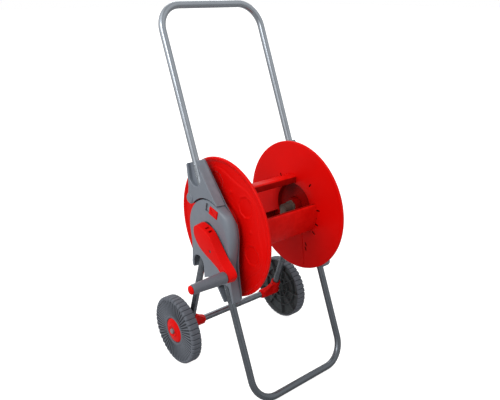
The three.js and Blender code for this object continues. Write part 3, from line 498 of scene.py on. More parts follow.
def leg_tube(name, end_z, bar, crimp_z, node, paint):
    corners = [leg_point(-1, end_z), leg_point(-1, bar.z), leg_point(1, bar.z), leg_point(1, end_z)]
    shape = joined(pipe(bent_path(corners, BEND_R)), crimp(-1, crimp_z), crimp(1, crimp_z))
    return dressed(solid(name, shape), paint, "cart_frame", "tube_paint", node)


leg_tube("handle_bent_tube", 506, TOP, CRIMP["handle"], "handle_tube", HANDLE_PAINT)
leg_tube("stand_bent_tube", 336, FOOT, CRIMP["stand"], "stand_tube", SHADED_TUBE_PAINT)

for side_name, side in SIDES.items():
    path = [strut_point(side, AXLE.z + 14), strut_point(side, 338)]
    strut = solid("strut_pipe_" + side_name, pipe(path))
    dressed(strut, SHADED_TUBE_PAINT, "cart_frame", "tube_paint", "strut_" + side_name)

cross = [Vector((-140, AXLE.y, AXLE.z)), Vector((140, AXLE.y, AXLE.z))]
dressed(solid("axle_cross_tube", pipe(cross)), SHADED_TUBE_PAINT, "cart_frame", "tube_paint", "axle_tube")


# ---------------------------------------------------------------- axle brackets


def axle_bracket(side_name, side):
    collar = solid("axle_collar_" + side_name, turned(
        [(0, 103), (10.5, 103), (14, 108), (14, 166), (11, 171), (0, 171)], 8), AXLE, side)
    foot = strut_point(1, AXLE.z) - (AXLE - GROUND)
    up = Vector((0, -STRUT_SLOPE, 1)).normalized()

    def upright(radius, start, end, sides):
        path = [foot + up * start, foot + up * end]
        points, faces = swept(path, ring(radius, sides, start=math.pi / sides))
        faces += [tuple(range(sides))[::-1], tuple(range(sides, 2 * sides))]
        return solid("tool", (points, faces), AXLE, side)

    lean = math.atan(STRUT_SLOPE)
    profile = [(TUBE_X - 44, -6), (TUBE_X - 44, 11), (TUBE_X - 38, 16), (TUBE_X - 20, 30), (TUBE_X - 14, 33),
               (TUBE_X, 33), (TUBE_X, -6)]
    web_points = []
    for y in (-5.5, 5.5):
        for x, z in profile:
            web_points.append((x, foot.y + y * math.cos(lean) - z * math.sin(lean),
                               foot.z + y * math.sin(lean) + z * math.cos(lean)))
    count = len(profile)
    web_faces = strip_faces(2, count) + [tuple(range(count)), tuple(range(count, 2 * count))]
    web = solid("tool", (np.array(web_points), web_faces), AXLE, side)
    made = fused(collar, upright(13.5, 0, 39, 12), web)
    bore_r = TUBE_R + 0.5
    tube_bore = solid("tool", turned([(0, 90), (bore_r, 90), (bore_r, 140.3), (0, 140.3)], 40), AXLE, side)
    rod_bore = solid("tool", turned([(0, 100), (6.4, 100), (6.4, 180), (0, 180)], 32), AXLE, side)
    carved(made, tube_bore, rod_bore, upright(TUBE_R + 0.5, 13.5, 60, 40))
    moulded(made, 0.7, 4)
    return dressed(made, RED, "cart_frame", "red_plastic", "axle_bracket_" + side_name)


for side_name, side in SIDES.items():
    axle_bracket(side_name, side)


# ---------------------------------------------------------------- wheels

WHEEL_R = AXLE.z
WHEEL_OUT = 203.4
TREAD_BLOCKS = 42
SIDE_RIBS = 56
WHEEL_SIDES = TREAD_BLOCKS * 16
SHOULDER = 5.5


def step(value, low, high):
    t = np.clip((value - low) / (high - low), 0, 1)
    return t * t * (3 - 2 * t)


def wheel_relief(radius, x, angle):
    """Shallow tread blocks that wrap over the shoulder, and fine ribs on the outer wall."""
    phase = (angle * TREAD_BLOCKS / (2 * math.pi)) % 1
    groove = 1 - step(np.minimum(phase, 1 - phase), 0.06, 0.2)
    shoulder = step(radius, WHEEL_R - 11, WHEEL_R - 8) * step(x, WHEEL_OUT - 6, WHEEL_OUT - 3)
    tread = step(radius, WHEEL_R - 5, WHEEL_R - 2)
    wall = step(radius, 39, 44) * (1 - step(radius, WHEEL_R - 12, WHEEL_R - 9)) * step(x, 199, 201)
    x = x - wall * 2.4 * (0.5 + 0.5 * np.cos(angle * SIDE_RIBS)) ** 0.7 - groove * shoulder * 1.8
    return radius - groove * tread * 1.4, x


def wheel_shape():
    face_r = WHEEL_R - SHOULDER
    outer = [(37, WHEEL_OUT - 0.4)] + [(r, WHEEL_OUT) for r in np.linspace(39, face_r, 17)]
    outer += [(face_r + SHOULDER * math.sin(t), WHEEL_OUT - SHOULDER * (1 - math.cos(t)))
              for t in np.radians([15, 30, 45, 60, 75, 90])]
    tread = [(WHEEL_R, x) for x in (194, 188, 182, 177)]
    inner_edge = [(WHEEL_R - 0.5, 175.5), (WHEEL_R - 1.6, 175)]
    inside = [(90.4, 174.9), (88.8, 175.2), (88, 176.5), (87, 189), (85.5, 190.4), (46, 191.2), (18, 190),
              (16, 188),
              (14.6, 175), (14, 173.9), (6.9, 173.8), (6.5, 174.4)]
    hub = [(6.5, 197.4), (7, 198), (33.6, 198), (34.5, 198.6), (35, 202.2), (36, 202.8)]
    profile = (outer + tread + inner_edge + inside + hub)[::-1]
    return turned(profile, WHEEL_SIDES, wheel_relief)


def rib_ring(radius, from_x, to_x, wall=1.4):
    profile = [(radius, to_x), (radius, from_x), (radius + wall, from_x), (radius + wall, to_x)]
    return turned(softened(profile, 0.4, 2), 96)


def spokes(count, from_r, to_r, from_x, to_x, wall=1.5):
    shapes = []
    for k in range(count):
        angle = 2 * math.pi * (k + 0.5) / count
        shapes.append(rotated(block(from_x, to_x, from_r, to_r, -wall / 2, wall / 2), angle))
    return joined(*shapes)


def hub_cap_shape():
    dome = [(34 * math.cos(a), 199.6 + 6.6 * math.sin(a) ** 0.8) for a in np.linspace(0.12, 1.05, 9)]
    profile = [(8, 198.4), (33.6, 198.4), (34, 199)] + dome
    profile += [(15.5, 206.9), (14.6, 206.5), (9.2, 205.6), (8, 204.8)]
    return turned(profile[::-1], 96)


for side_name, side in SIDES.items():
    body = "wheel_" + side_name
    shape = joined(wheel_shape(), rib_ring(32, 180, 191), rib_ring(58, 182, 191), spokes(9, 15, 87, 181, 191))
    tyre = solid("wheel_tyre_" + side_name, shape, AXLE, side)
    dressed(tyre, TYRE, body, "wheel_plastic", "wheel_" + side_name)
    tyre.data.materials.append(TYRE_HOLLOW_SHADE)
    tyre.data.materials.append(TYRE_RECESS_SHADE)
    # Painted shade: faces in the wheel's hollow, in the tread grooves and between the side ribs take darker
    # copies of the wheel plastic.
    for face in tyre.data.polygons:
        across = Vector(face.center) / MM - AXLE
        radius, angle = math.hypot(across.y, across.z), math.atan2(across.z, across.y)
        if radius < 88.7 and abs(across.x) < 192:
            face.material_index = 1
        # Painted shade in the recesses between the side ribs and in the tread grooves.
        elif 42 < radius < 84 and math.cos(angle * SIDE_RIBS) > 0.2:
            face.material_index = 2
        elif radius > WHEEL_R - 6 and math.cos(angle * TREAD_BLOCKS) > 0.86:
            face.material_index = 2
    dressed(solid("wheel_cap_" + side_name, hub_cap_shape(), AXLE, side), RED, body, "red_plastic",
            "hub_cap_" + side_name)
    end_cap = [(0, 209), (6.3, 209), (6.3, 203), (7.2, 203), (7.2, 209), (6, 210.6), (2, 211), (0, 211)]
    end_piece = solid("axle_end_" + side_name, turned(softened(end_cap, 0.7), 40), AXLE, side)
    dressed(end_piece, CAP_GREY, "cart_frame", "grey_plastic", "axle_push_cap_" + side_name)

# ---------------------------------------------------------------- side casings, about the drum's axis

CASE_IN, CASE_OUT = 140.0, 165.0
CASE_WALL = 2.8
SEAM_R = 82.4
# end y and z, mouth y and z, end radius, half width at the mouth
HANDLE_SLOT = (51.5, 126, 63, 176, 23.5, 21.5)
STRUT_SLOT = (46, -100.5, 44.5, -140, 21.5, 21.5)
STAND_WINDOW = [(-35, -133), (-44, -124), (-70, -115), (-76, -118), (-88, -152), (-88, -176), (-66, -176),
                (-57, -161)]
ROLL = np.radians([0, 10, 20, 30, 40, 50, 60, 70, 80, 90])
FRONT_RIM = [(-95, -150), (-92, -133), (-88, -115), (-79, -75), (-84, -34), (-87, 4), (-81, 34), (-70, 54),
             (-53, 64)]
FRONT_FACE = [(-96, -148), (-93.5, -132), (-89.5, -115), (-79.5, -75), (-78, -34), (-72, 2), (-63, 28),
              (-52, 50),
              (-42, 64.5)]
REAR_RIM = [(79.6, -20), (74, -50), (73.5, -84), (75, -103)]
REAR_FACE = [(76, -20), (71, -50), (71.5, -84), (73.5, -103)]
ARCH_RIM = [(47, -129), (33, -132), (20, -130), (4, -123.5), (-12, -121), (-25, -127)]
ARCH_FACE = [(47, -128), (33, -131), (20, -129), (4, -122), (-12, -119.5), (-26, -126)]


def lower_outline(share):
    """The lower casing from the side: share 0 at its inner rim, 1 on its outer face."""

    def blend(rim, face):
        return np.array(rim, float) * (1 - share) + np.array(face, float) * share

    top = arc(0, 0, blend(81, 77.5), blend(119.5, 115), -14, 44)
    rear = smooth(blend(REAR_RIM, REAR_FACE), 5)[1:]
    rear_foot = arc(65.5, -109, blend(9, 7.5), 10, -80, 6)
    arch = smooth(blend(ARCH_RIM, ARCH_FACE), 6)
    front_foot = [tuple(blend((-31, -134), (-31.5, -134))), tuple(blend((-53, -160), (-53.5, -159.5)))]
    front_foot += arc(-60, -161, blend(5, 4), -25, -115, 4)
    front_foot += arc(-89.5, -152, blend(5, 4), -115, -190, 4)
    front = smooth(blend(FRONT_RIM, FRONT_FACE), 6)
    return np.array(top + rear + rear_foot + arch + front_foot + front)


def rolled_layers(outline, start_x, end_x, most=1.0):
    """Outlines from the rim to the face: the wall turns a quarter over, up to the share most."""
    return [(start_x + (end_x - start_x) * math.sin(turn), outline(most * (1 - math.cos(turn))))
            for turn in ROLL]


def mouth_slot(end_y, end_z, mouth_y, mouth_z, end_r, mouth_half):
    """A slot with a round end and an open mouth."""
    away = math.degrees(math.atan2(mouth_z - end_z, mouth_y - end_y))
    across = np.array([-math.sin(math.radians(away)), math.cos(math.radians(away))]) * mouth_half
    mouth = np.array([mouth_y, mouth_z])
    end = arc(end_y, end_z, end_r, away + 90, away + 270, 20)
    return np.array([mouth - across, mouth + across] + end)


def slot_tool(outline, side, floor_x):
    """Cuts a slot through the outer face, wider by a small round at the rim."""
    layers = [(floor_x, outline), (CASE_OUT - 1.6, outline)]
    layers += [(CASE_OUT - 1.6 * math.cos(t), inset(outline, -1.8 * (1 - math.cos(t)) - 0.01))
               for t in np.radians([30, 50, 70, 90])]
    layers.append((CASE_OUT + 4, inset(outline, -1.9)))
    return solid("tool", loft(layers), DRUM, side)


def leg_tool(side, from_z, to_z, radius=TUBE_R + 0.6):
    points, faces = swept([leg_point(1, from_z), leg_point(1, to_z)], ring(radius, 40))
    faces += [tuple(range(40))[::-1], tuple(range(40, 80))]
    return solid("tool", (points, faces), GROUND, side)


def strut_tool(side):
    points, faces = swept([strut_point(1, 250), strut_point(1, 340)], ring(TUBE_R + 0.6, 40))
    faces += [tuple(range(40))[::-1], tuple(range(40, 80))]
    return solid("tool", (points, faces), GROUND, side)


LOCK_PLACE = np.array([-23.7, 56.2])
LOCK_TILT = math.radians(14)
LOCK_SIZE = (31.0, 20.0)
LOCK_TRAVEL = 15.0


def lock_outline(before, after, half_height, radius):
    along = np.array([math.cos(LOCK_TILT), math.sin(LOCK_TILT)])
    across = np.array([-along[1], along[0]])
    sides = ((before, -half_height), (after, -half_height), (after, half_height), (before, half_height))
    corners = [LOCK_PLACE + along * u + across * v for u, v in sides]
    return filleted(corners, radius)


def rod_x(from_x, to_x, radius, y=0.0, z=0.0, sides=40):
    return moved(turned([(0, from_x), (radius, from_x), (radius, to_x), (0, to_x)], sides), y=y, z=z)


def lower_casing(side_name, side):
    rim = [(CASE_IN, inset(lower_outline(0), 2.2)), (CASE_IN + 0.8, inset(lower_outline(0), 1.1)),
           (CASE_IN + 2.2, inset(lower_outline(0), 0.3))]
    layers = rim + rolled_layers(lower_outline, CASE_IN + 4.5, CASE_OUT)
    made = solid("side_casing_" + side_name, loft(layers), DRUM, side)

    def inside(share):
        return inset(lower_outline(share), CASE_WALL)

    hollow_layers = [(CASE_IN - 1, inside(0))]
    hollow_layers += rolled_layers(inside, CASE_IN, CASE_OUT - CASE_WALL, 0.6)
    hollow = solid("tool", loft(hollow_layers), DRUM, side)
    tools = [
        hollow,
        solid("tool", rod_x(CASE_IN - 5, CASE_OUT + 5, 26.2, sides=64), DRUM, side),
        leg_tool(side, 225, 340),
        strut_tool(side),
        slot_tool(mouth_slot(*STRUT_SLOT), side, CASE_OUT - 15),
        slot_tool(filleted(STAND_WINDOW, 4), side, CASE_OUT - 15),
    ]
    if side_name == "left":
        half = LOCK_SIZE[0] / 2
        slot = lock_outline(-half - 0.8, half + LOCK_TRAVEL + 0.8, LOCK_SIZE[1] / 2 + 0.7, 2.0)
        tools.append(solid("tool", loft([(CASE_OUT - 6, slot), (CASE_OUT + 2, slot)]), DRUM, side))
        # Room behind the face for the clip's travel. Under the cover's seam it opens the wall in one place.
        clip_way = lock_outline(-half - 2, half + 2 * LOCK_TRAVEL + 2, LOCK_SIZE[1] / 2 + 2.2, 6.5)
        way_layers = [(CASE_OUT - 12, clip_way), (CASE_OUT - 3.2, clip_way)]
        tools.append(solid("tool", loft(way_layers), DRUM, side))
    carved(made, *tools)
    return dressed(made, GREY, "cart_frame", "grey_plastic", "lower_casing_" + side_name, sharp=32)


def bend(before, corner, after, radius, steps=5):
    """The points that round one corner."""
    u = (before - corner) / np.linalg.norm(before - corner)
    v = (after - corner) / np.linalg.norm(after - corner)
    return [tuple(p) for p in rounded_corner(corner + u * radius, corner, corner + v * radius, steps)]


def cover_outline(share=0.0, edge=0.0, seam_r=SEAM_R + 1.2):
    """The upper cover from the side: a wedge with an ear behind. Share 0 is its inner rim and 1 its
    outer face; its free edges are moved in by edge."""
    front_top, front_low = (42 + 3.5 * share, 167), (-40.5 + share, 71.5)
    corners = inset([(78, 60), (79.5, 96), (82.5, 124), (86, 151), front_top, front_low], edge)
    low, middle, rear, front, nose = corners[1:]
    down = (nose - front) / np.linalg.norm(nose - front)
    inwards = front @ down
    tip = front + down * (-inwards - math.sqrt(inwards ** 2 - front @ front + seam_r ** 2))
    wedge = [tuple(low), tuple(middle)] + bend(middle, rear, front, 4) + bend(rear, front, nose, 2.5)
    seam = arc(0, 0, seam_r, math.degrees(math.atan2(tip[1], tip[0])), 43, 26)
    return np.array(wedge + seam + arc(74.5, 65, 14 - edge, -138, 62, 16))


def upper_cover(side_name, side):
    edge, wall = 1.6, 2.2
    layers = [(CASE_IN, cover_outline(0, 1.6)), (CASE_IN + 0.7, cover_outline(0, 0.7))]
    layers.append((CASE_IN + 2, cover_outline(0)))
    layers += [(CASE_OUT - edge - 1, cover_outline(1)), (CASE_OUT - edge, cover_outline(1))]
    layers += [(CASE_OUT - edge + edge * math.sin(t), cover_outline(1, edge * (1 - math.cos(t))))
               for t in np.radians([22.5, 45, 67.5, 90])]
    made = solid("tube_cover_" + side_name, loft(layers), DRUM, side)
    inner = cover_outline(1, wall, SEAM_R + 1.2 + wall)
    hollow = solid("tool", loft([(CASE_IN - 1, inner), (CASE_OUT - 10, inner)]), DRUM, side)
    mouth = slot_tool(mouth_slot(*HANDLE_SLOT), side, CASE_OUT - 9)
    carved(made, hollow, leg_tool(side, 500, 640), mouth)
    return dressed(made, GREY, "cart_frame", "grey_plastic", "upper_cover_" + side_name, sharp=32)


def ear_boss(side_name, side):
    """The lighter round boss that ends the cover's ear."""
    profile = [(0, 163.5), (12.6, 163.5), (12.6, 165.2), (11.8, 166.4), (10.4, 167), (4, 167.3), (0, 167.3)]
    boss = moved(turned(softened(profile, 0.6), 48), y=74.5, z=65)
    made = solid("ear_boss_" + side_name, boss, DRUM, side)
    return dressed(made, GREY, "cart_frame", "grey_plastic")


for side_name, side in SIDES.items():
    lower_casing(side_name, side)
    upper_cover(side_name, side)
    ear_boss(side_name, side)


def lock_slider():
    half = LOCK_SIZE[0] / 2
    outline = lock_outline(-half, half, LOCK_SIZE[1] / 2, 2.4)
    layers = [(CASE_OUT - 3.6, outline), (CASE_OUT + 1.0, outline), (CASE_OUT + 1.8, inset(outline, 0.4)),
              (CASE_OUT + 2.2, inset(outline, 1.2)), (CASE_OUT + 1.9, inset(outline, 2.6))]
    made = solid("lock_button", loft(layers), DRUM, -1)
    return dressed(made, RED, "lock", "red_plastic", "lock_slider")


lock_slider()

# ---------------------------------------------------------------- drum

FLANGE_X = 115.5
DISH_R, DISH_DEPTH = 62.0, 8.5
MEDALLIONS = 6
MEDALLION_TURN = math.radians(138.2)
MEDALLION_PLACE_R = 115.0
MEDALLION_R = 24.0


def medallion_height(y, z):
    """Relief of the flange's outer face, in mm outwards: recessed octagons, knobs and a soft wave."""
    radius, angle = np.hypot(y, z), np.arctan2(z, y)
    wave = 141 + 7 * np.cos(MEDALLIONS * (angle - MEDALLION_TURN))
    height = -1.3 * step(radius, wave, wave + 5) + 0.9 * (1 - step(radius, 78, 84))
    for k in range(MEDALLIONS):
        turn = MEDALLION_TURN + 2 * math.pi * k / MEDALLIONS
        dy, dz = y - MEDALLION_PLACE_R * math.cos(turn), z - MEDALLION_PLACE_R * math.sin(turn)
        reach = np.max([np.abs(dy * math.cos(a) + dz * math.sin(a))
                        for a in turn + np.arange(4) * math.pi / 4 + math.pi / 8], axis=0)
        height += -1.5 * (1 - step(reach, MEDALLION_R - 2.2, MEDALLION_R))
        height += 0.5 * (1 - step(np.abs(reach - MEDALLION_R - 2.0), 0.8, 2.4))
        turn += math.pi / MEDALLIONS
        knob = np.hypot(y - 106 * math.cos(turn), z - 106 * math.sin(turn))
        height += 1.2 * (1 - step(knob, 3.2, 6.0))
    return height


def flange_relief(radius, x, angle):
    inner_edge, outer_edge = step(radius, DISH_R + 5, DISH_R + 7), 1 - step(radius, 163, 165)
    face = step(x, FLANGE_X + 2.4, FLANGE_X + 2.6) * inner_edge * outer_edge
    return radius, x + face * medallion_height(radius * np.cos(angle), radius * np.sin(angle))


def flange_shape():
    face_x = FLANGE_X + 4.2
    outer = [(r, face_x) for r in np.linspace(DISH_R + 6, 164, 66)]
    rim = [(165.5, face_x + 0.3), (167, face_x + 1.6), (168.4, FLANGE_X + 6.2), (171, FLANGE_X + 6.6),
           (173.4, FLANGE_X + 6.2), (174.7, FLANGE_X + 4.8), (175, FLANGE_X + 3), (174.6, FLANGE_X + 1.2),
           (173.2, FLANGE_X + 0.2), (171, FLANGE_X)]
    inner = [(r, FLANGE_X) for r in (150, 120, 90, DISH_R + 1.4)]
    dish = [(DISH_R + 0.4, FLANGE_X + 0.5), (DISH_R, FLANGE_X + 1.6), (DISH_R - 1.6, FLANGE_X + DISH_DEPTH - 1),
            (DISH_R - 3, FLANGE_X + DISH_DEPTH), (45, FLANGE_X + DISH_DEPTH), (24, FLANGE_X + DISH_DEPTH),
            (24, FLANGE_X + DISH_DEPTH + 2.7), (DISH_R + 1, FLANGE_X + DISH_DEPTH + 2.7),
            (DISH_R + 3, FLANGE_X + DISH_DEPTH + 1.7), (DISH_R + 3.6, FLANGE_X + DISH_DEPTH),
            (DISH_R + 4.4, face_x + 0.8), (DISH_R + 5, face_x + 0.1)]
    return turned(outer + rim + inner + dish, 384, flange_relief)


# small oblong pockets in the flange's inner face, and the two ends of a groove in it
FLANGE_POCKETS = [(-58, 72), (-90, 12), (-81, -10), (-87, -28), (-78, -54), (-51, -96), (-51, -108.5),
                  (52, 74), (74, -50)]
GROOVE_ENDS = (-35, -70), (-47, -157)


def flange(side_name, side):
    made = solid("flange_disc_" + side_name, flange_shape(), DRUM, side)
    tools = []
    for y, z in FLANGE_POCKETS:
        pocket = rotated(block(FLANGE_X - 1, FLANGE_X + 2, -5.5, 5.5, -2, 2), math.atan2(z, y))
        tools.append(solid("tool", moved(pocket, y=y, z=z), DRUM, side))
    (from_y, from_z), (to_y, to_z) = GROOVE_ENDS
    length = math.hypot(to_y - from_y, to_z - from_z)
    heading = math.atan2(to_z - from_z, to_y - from_y)
    groove = rotated(block(FLANGE_X - 1, FLANGE_X + 1.2, 0, length, -1.4, 1.4), heading)
    tools.append(solid("tool", moved(groove, y=from_y, z=from_z), DRUM, side))
    carved(made, *tools)
    dressed(made, RED, "drum", "red_plastic", "drum_flange_" + side_name, sharp=50)
    paint_inner_shade(made, DISH_R + 0.8, FLANGE_X + DISH_DEPTH + 1)
    made.data.materials.append(POCKET_PAINTED_SHADE)
    # Painted shadow: the pockets' floors and walls take the near-black red.
    for face in made.data.polygons:
        place = Vector(face.center) / MM - DRUM
        near = min(math.hypot(place.y - y, place.z - z) for y, z in FLANGE_POCKETS)
        if FLANGE_X + 0.05 < abs(place.x) < FLANGE_X + 2.1 and near < 6:
            face.material_index = 2


def paint_inner_shade(made, below_r, below_x):
    """Gives the darker red, painted shade, to the faces nearer the drum's axis and middle than these."""
    made.data.materials.append(RED_PAINTED_SHADE)
    for face in made.data.polygons:
        place = Vector(face.center) / MM - DRUM
        if math.hypot(place.y, place.z) < below_r and abs(place.x) < below_x:
            face.material_index = 1


for side_name, side in SIDES.items():
    flange(side_name, side)

SLAT_R, SLAT_LIP_R, SLAT_WALL, SLAT_DEG = 86.0, 68.0, 2.5, 55.0


def slat_shape(middle):
    half = SLAT_DEG / 2
    corner_r = 6.0
    corner = math.degrees(corner_r / (SLAT_R - corner_r))
    bend_r = SLAT_R - corner_r

    def rounded(radius, at, start, end, steps=6):
        y, z = bend_r * math.cos(math.radians(at)), bend_r * math.sin(math.radians(at))
        return arc(y, z, radius, start, end, steps)

    low, high = middle - half + corner, middle + half - corner

    def lip(deg, radius):
        return radius * math.cos(math.radians(deg)), radius * math.sin(math.radians(deg))

    wall = math.degrees(SLAT_WALL / SLAT_LIP_R)
    outline = [lip(middle - half, SLAT_LIP_R)] + rounded(corner_r, low, low - 85, low)
    outline += arc(0, 0, SLAT_R, low + 1, high - 1, 12) + rounded(corner_r, high, high, high + 85)
    outline += [lip(middle + half, SLAT_LIP_R), lip(middle + half - wall, SLAT_LIP_R)]
    outline += rounded(corner_r - SLAT_WALL, high, high + 85, high)
    outline += arc(0, 0, SLAT_R - SLAT_WALL, high - 1, low + 1, 12)
    outline += rounded(corner_r - SLAT_WALL, low, low, low - 85) + [lip(middle - half + wall, SLAT_LIP_R)]
    return loft([(-FLANGE_X + 0.3, np.array(outline)), (FLANGE_X - 0.3, np.array(outline))])


for i in range(3):
    slat = solid("core_channel_" + str(i + 1), slat_shape(188 + 120 * i), DRUM)
    dressed(slat, RED, "drum", "red_plastic", "core_slat_" + str(i + 1))
    paint_inner_shade(slat, SLAT_R - SLAT_WALL + 0.4, FLANGE_X)

# ---------------------------------------------------------------- crank and grip, on the left

CRANK_DEG = 215.5
CRANK_IN, CRANK_OUT = 168.2, 190.0
CRANK_LENGTH = 122.8
GRIP_IN, GRIP_OUT = 191.5, 283.0


def crank_point(length, across=0.0):
    c, s = math.cos(math.radians(CRANK_DEG)), math.sin(math.radians(CRANK_DEG))
    return c * length - s * across, s * length + c * across


# along the arm and across it, from the middle of its tip, round the hub and back
CRANK_BASE = [(137.6, 1), (135.8, 11), (127, 16.6), (112, 18.4), (91, 19.5), (67, 24), (42, 28.5), (20, 31),
              (0, 30), (-20, 21.5), (-30.5, 3), (-23, -13), (-8, -23), (8, -29.5), (22, -31.3), (38, -29),
              (60, -24.5), (91, -18.9), (112, -18.2), (127, -16.4), (135.8, -10)]
CRANK_FACE = [(137.2, 1), (135.4, 7), (127, 10), (112, 10), (91, 10.8), (67, 16.6), (42, 24), (20, 28),
              (0, 26.4), (-18, 18.5), (-27, 4), (-20.5, -9.5), (-6, -18.5), (10, -25), (24, -27.5), (38, -26),
              (60, -20.5), (91, -12.4), (112, -10), (127, -9.6), (135.4, -6)]


def crank_outline(share):
    """The arm from the side: share 0 next to the casing, 1 on its outer face."""
    local = np.array(CRANK_BASE) * (1 - share) + np.array(CRANK_FACE) * share
    curve = smooth([*local, local[0]], 6)[:-1]
    return np.array([crank_point(*spot) for spot in curve])


def crank_notch(along):
    """A short slot in the hub's front wall."""
    corners = [(along, -40), (along + 5, -40), (along + 5, -18), (along, -18)]
    outline = np.array([crank_point(*corner) for corner in corners])
    return loft([(173, outline), (183, outline)])


def crank():
    edge, depth = 1.4, CRANK_OUT - CRANK_IN
    layers = [(CRANK_IN, inset(crank_outline(0), 0.8)), (CRANK_IN + 0.8, crank_outline(0))]
    layers += [(CRANK_IN + part * depth, crank_outline(part)) for part in (0.1, 0.86)]
    for t in np.radians([0, 22.5, 45, 67.5, 90]):
        x = CRANK_OUT - edge + edge * math.sin(t)
        layers.append((x, inset(crank_outline((x - CRANK_IN) / depth), edge * (1 - math.cos(t)))))
    made = solid("crank_lever", loft(layers), DRUM, -1)
    pin_y, pin_z = crank_point(CRANK_LENGTH)
    bolt_y, bolt_z = crank_point(50)
    carved(
        made,
        solid("tool", block(CRANK_IN - 1, CRANK_OUT - 4.5, -9.3, 9.3, -9.3, 9.3), DRUM, -1),
        solid("tool", rod_x(CRANK_IN - 1, CRANK_OUT + 1, 5.3, pin_y, pin_z), DRUM, -1),
        solid("tool", rod_x(CRANK_OUT - 3, CRANK_OUT + 1, 3.7, bolt_y, bolt_z), DRUM, -1),
        *[solid("tool", crank_notch(along), DRUM, -1) for along in (-1, 12)],
    )
    return dressed(made, RED, "drum", "red_plastic", "crank_arm")


def grip():
    sleeve = [(5.4, GRIP_OUT - 0.8), (5.4, GRIP_IN), (12.6, GRIP_IN), (13.8, GRIP_IN + 1.2), (14.3, GRIP_IN + 4)]
    sleeve += [(14.3 - 2.6 * step(t, 0, 1), GRIP_IN + 6 + t * 80) for t in np.linspace(0, 1, 12)]
    sleeve += [(11.3, GRIP_OUT - 3), (10.8, GRIP_OUT - 1.4), (10.0, GRIP_OUT - 0.8)]
    handle = solid("grip_handle", turned(sleeve, 64), GRIP, -1)
    dressed(handle, GRIP_GREY, "grip", "grey_plastic", "grip_sleeve")
    cap = [(0, GRIP_OUT + 2.3), (5.3, GRIP_OUT + 2.3), (5.3, GRIP_OUT), (9.8, GRIP_OUT), (10.5, GRIP_OUT + 0.7)]
    cap += [(10.5 * math.cos(a), GRIP_OUT + 1.2 + 4.8 * math.sin(a)) for a in np.linspace(0.1, 1.35, 8)]
    cap += [(0, GRIP_OUT + 6)]
    dressed(solid("grip_cap", turned(cap, 48), GRIP, -1), RED, "drum", "red_plastic", "grip_end_cap")


crank()
grip()

# ---------------------------------------------------------------- CAD pieces that keep their shape

# The water hub takes the darker red, painted shade, like the drum's inside.
KEPT = {
    "axle_rod": STEEL, "drive_hub": DARK, "water_hub": RED_PAINTED_SHADE, "hose_connector": CONNECTOR_GREY,
    "inlet_elbow": GREY,
    "inlet_nipple": GREY, "inlet_seal": RUBBER, "lock_clip": GREY, "grip_pin": RED, "crank_screw": DARK,
}
for side_name in SIDES:
    KEPT["inner_panel_" + side_name] = PANEL_GREY
    KEPT["drum_bush_" + side_name] = DARK
    KEPT["bracket_screw_" + side_name] = DARK
    for name in ("axle_washer", "handle_screw", "stand_screw", "strut_screw",
                 "front_casing_screw", "low_casing_screw", "cover_screw", "ear_screw"):
        KEPT[name + "_" + side_name] = STEEL
for node, material in KEPT.items():
    mesh = frame["nodes"][node].data
    mesh.materials.clear()
    mesh.materials.append(material)
    mesh.shade_smooth()
    mesh.set_sharp_from_angle(angle=math.radians(30))

# ---------------------------------------------------------------- stage, light and camera

FLOOR_GLOW = 0.85  # seen by the camera only
ROOM_LEVEL = 0.23
# towards, where it fades out, where it is full, strength
SOFT_AREAS = [((-0.95, 0.2, 0.35), 0.35, 0.9, 1.25), ((0.45, -0.85, 0.15), 0.35, 0.95, 0.65),
              ((0.65, 0.65, 0.35), 0.3, 0.9, 0.45), ((0, 0, 1), 0.2, 1.0, 0.45)]


def stage():
    floor_material = bpy.data.materials.new("floor")
    floor_material.use_nodes = True
    nodes, links = floor_material.node_tree.nodes, floor_material.node_tree.links
    shader = nodes["Principled BSDF"]
    shader.inputs["Base Color"].default_value = (0.42, 0.42, 0.42, 1)
    shader.inputs["Roughness"].default_value = 0.9
    shader.inputs["Specular IOR Level"].default_value = 0.1
    shader.inputs["Emission Color"].default_value = (1, 1, 1, 1)
    glow = nodes.new("ShaderNodeMath")
    glow.operation = "MULTIPLY"
    glow.inputs[1].default_value = FLOOR_GLOW
    links.new(nodes.new("ShaderNodeLightPath").outputs["Is Camera Ray"], glow.inputs[0])
    links.new(glow.outputs["Value"], shader.inputs["Emission Strength"])
    size = 30000.0
    corners = [(-size, -size, 0), (size, -size, 0), (size, size, 0), (-size, size, 0)]
    floor = solid("floor", (np.array(corners), [(0, 1, 2, 3)]))
    floor.data.materials.append(floor_material)


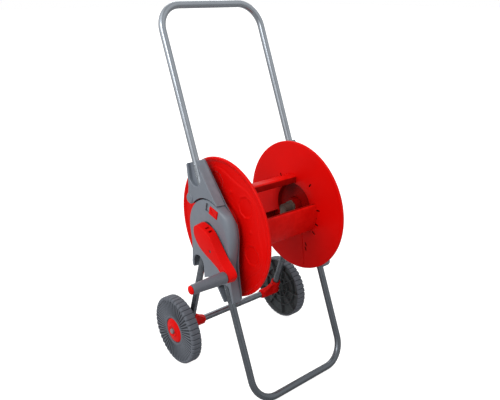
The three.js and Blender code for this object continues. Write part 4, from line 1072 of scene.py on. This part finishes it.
def studio_world():
    """A white backdrop for the camera; the light comes from soft bright areas of a greyer room."""
    world = bpy.data.worlds.new("studio")
    world.use_nodes = True
    nodes, links = world.node_tree.nodes, world.node_tree.links
    place = nodes.new("ShaderNodeTexCoord")
    level = None
    for direction, dark, bright, strength in SOFT_AREAS:
        facing = nodes.new("ShaderNodeVectorMath")
        facing.operation = "DOT_PRODUCT"
        facing.inputs[1].default_value = Vector(direction).normalized()
        links.new(place.outputs["Generated"], facing.inputs[0])
        area = nodes.new("ShaderNodeMapRange")
        area.interpolation_type = "SMOOTHSTEP"
        area.inputs["From Min"].default_value = dark
        area.inputs["From Max"].default_value = bright
        area.inputs["To Min"].default_value = 0.0 if level else ROOM_LEVEL
        area.inputs["To Max"].default_value = strength if level else ROOM_LEVEL + strength
        links.new(facing.outputs["Value"], area.inputs["Value"])
        if level:
            total = nodes.new("ShaderNodeMath")
            links.new(level, total.inputs[0])
            links.new(area.outputs["Result"], total.inputs[1])
            level = total.outputs["Value"]
        else:
            level = area.outputs["Result"]
    room = nodes["Background"]
    room.inputs["Color"].default_value = (1, 1, 1, 1)
    links.new(level, room.inputs["Strength"])
    backdrop = nodes.new("ShaderNodeBackground")
    backdrop.inputs["Color"].default_value = (1, 1, 1, 1)
    mixed = nodes.new("ShaderNodeMixShader")
    links.new(nodes.new("ShaderNodeLightPath").outputs["Is Camera Ray"], mixed.inputs["Fac"])
    links.new(room.outputs["Background"], mixed.inputs[1])
    links.new(backdrop.outputs["Background"], mixed.inputs[2])
    links.new(mixed.outputs["Shader"], nodes["World Output"].inputs["Surface"])
    bpy.context.scene.world = world
    bpy.context.scene.view_settings.view_transform = "Standard"


def lamp(name, place, aim, size, power):
    light = bpy.data.lights.new(name, "AREA")
    light.shape = "DISK"
    light.size = size
    light.energy = power
    made = bpy.data.objects.new(name, light)
    made.location = place
    made.rotation_euler = (Vector(aim) - Vector(place)).to_track_quat("-Z", "Y").to_euler()
    bpy.context.scene.collection.objects.link(made)


def camera():
    data = bpy.data.cameras.new("camera")
    data.sensor_width = 36
    data.lens = 40.73
    made = bpy.data.objects.new("camera", data)
    azimuth, elevation = math.radians(-39.335), math.radians(20.322)
    back = Vector((math.sin(azimuth) * math.cos(elevation), -math.cos(azimuth) * math.cos(elevation),
                   math.sin(elevation)))
    made.location = (-0.8353, -1.0406, 0.9557)
    made.rotation_euler = (-back).to_track_quat("-Z", "Y").to_euler()
    bpy.context.scene.collection.objects.link(made)
    bpy.context.scene.camera = made


stage()
studio_world()
centre = (0.0, 0.0, 0.4)
lamp("key", (-2.4, -0.6, 2.4), centre, 1.6, 36)
lamp("back", (1.2, 2.4, 2.2), centre, 1.6, 16)
camera()
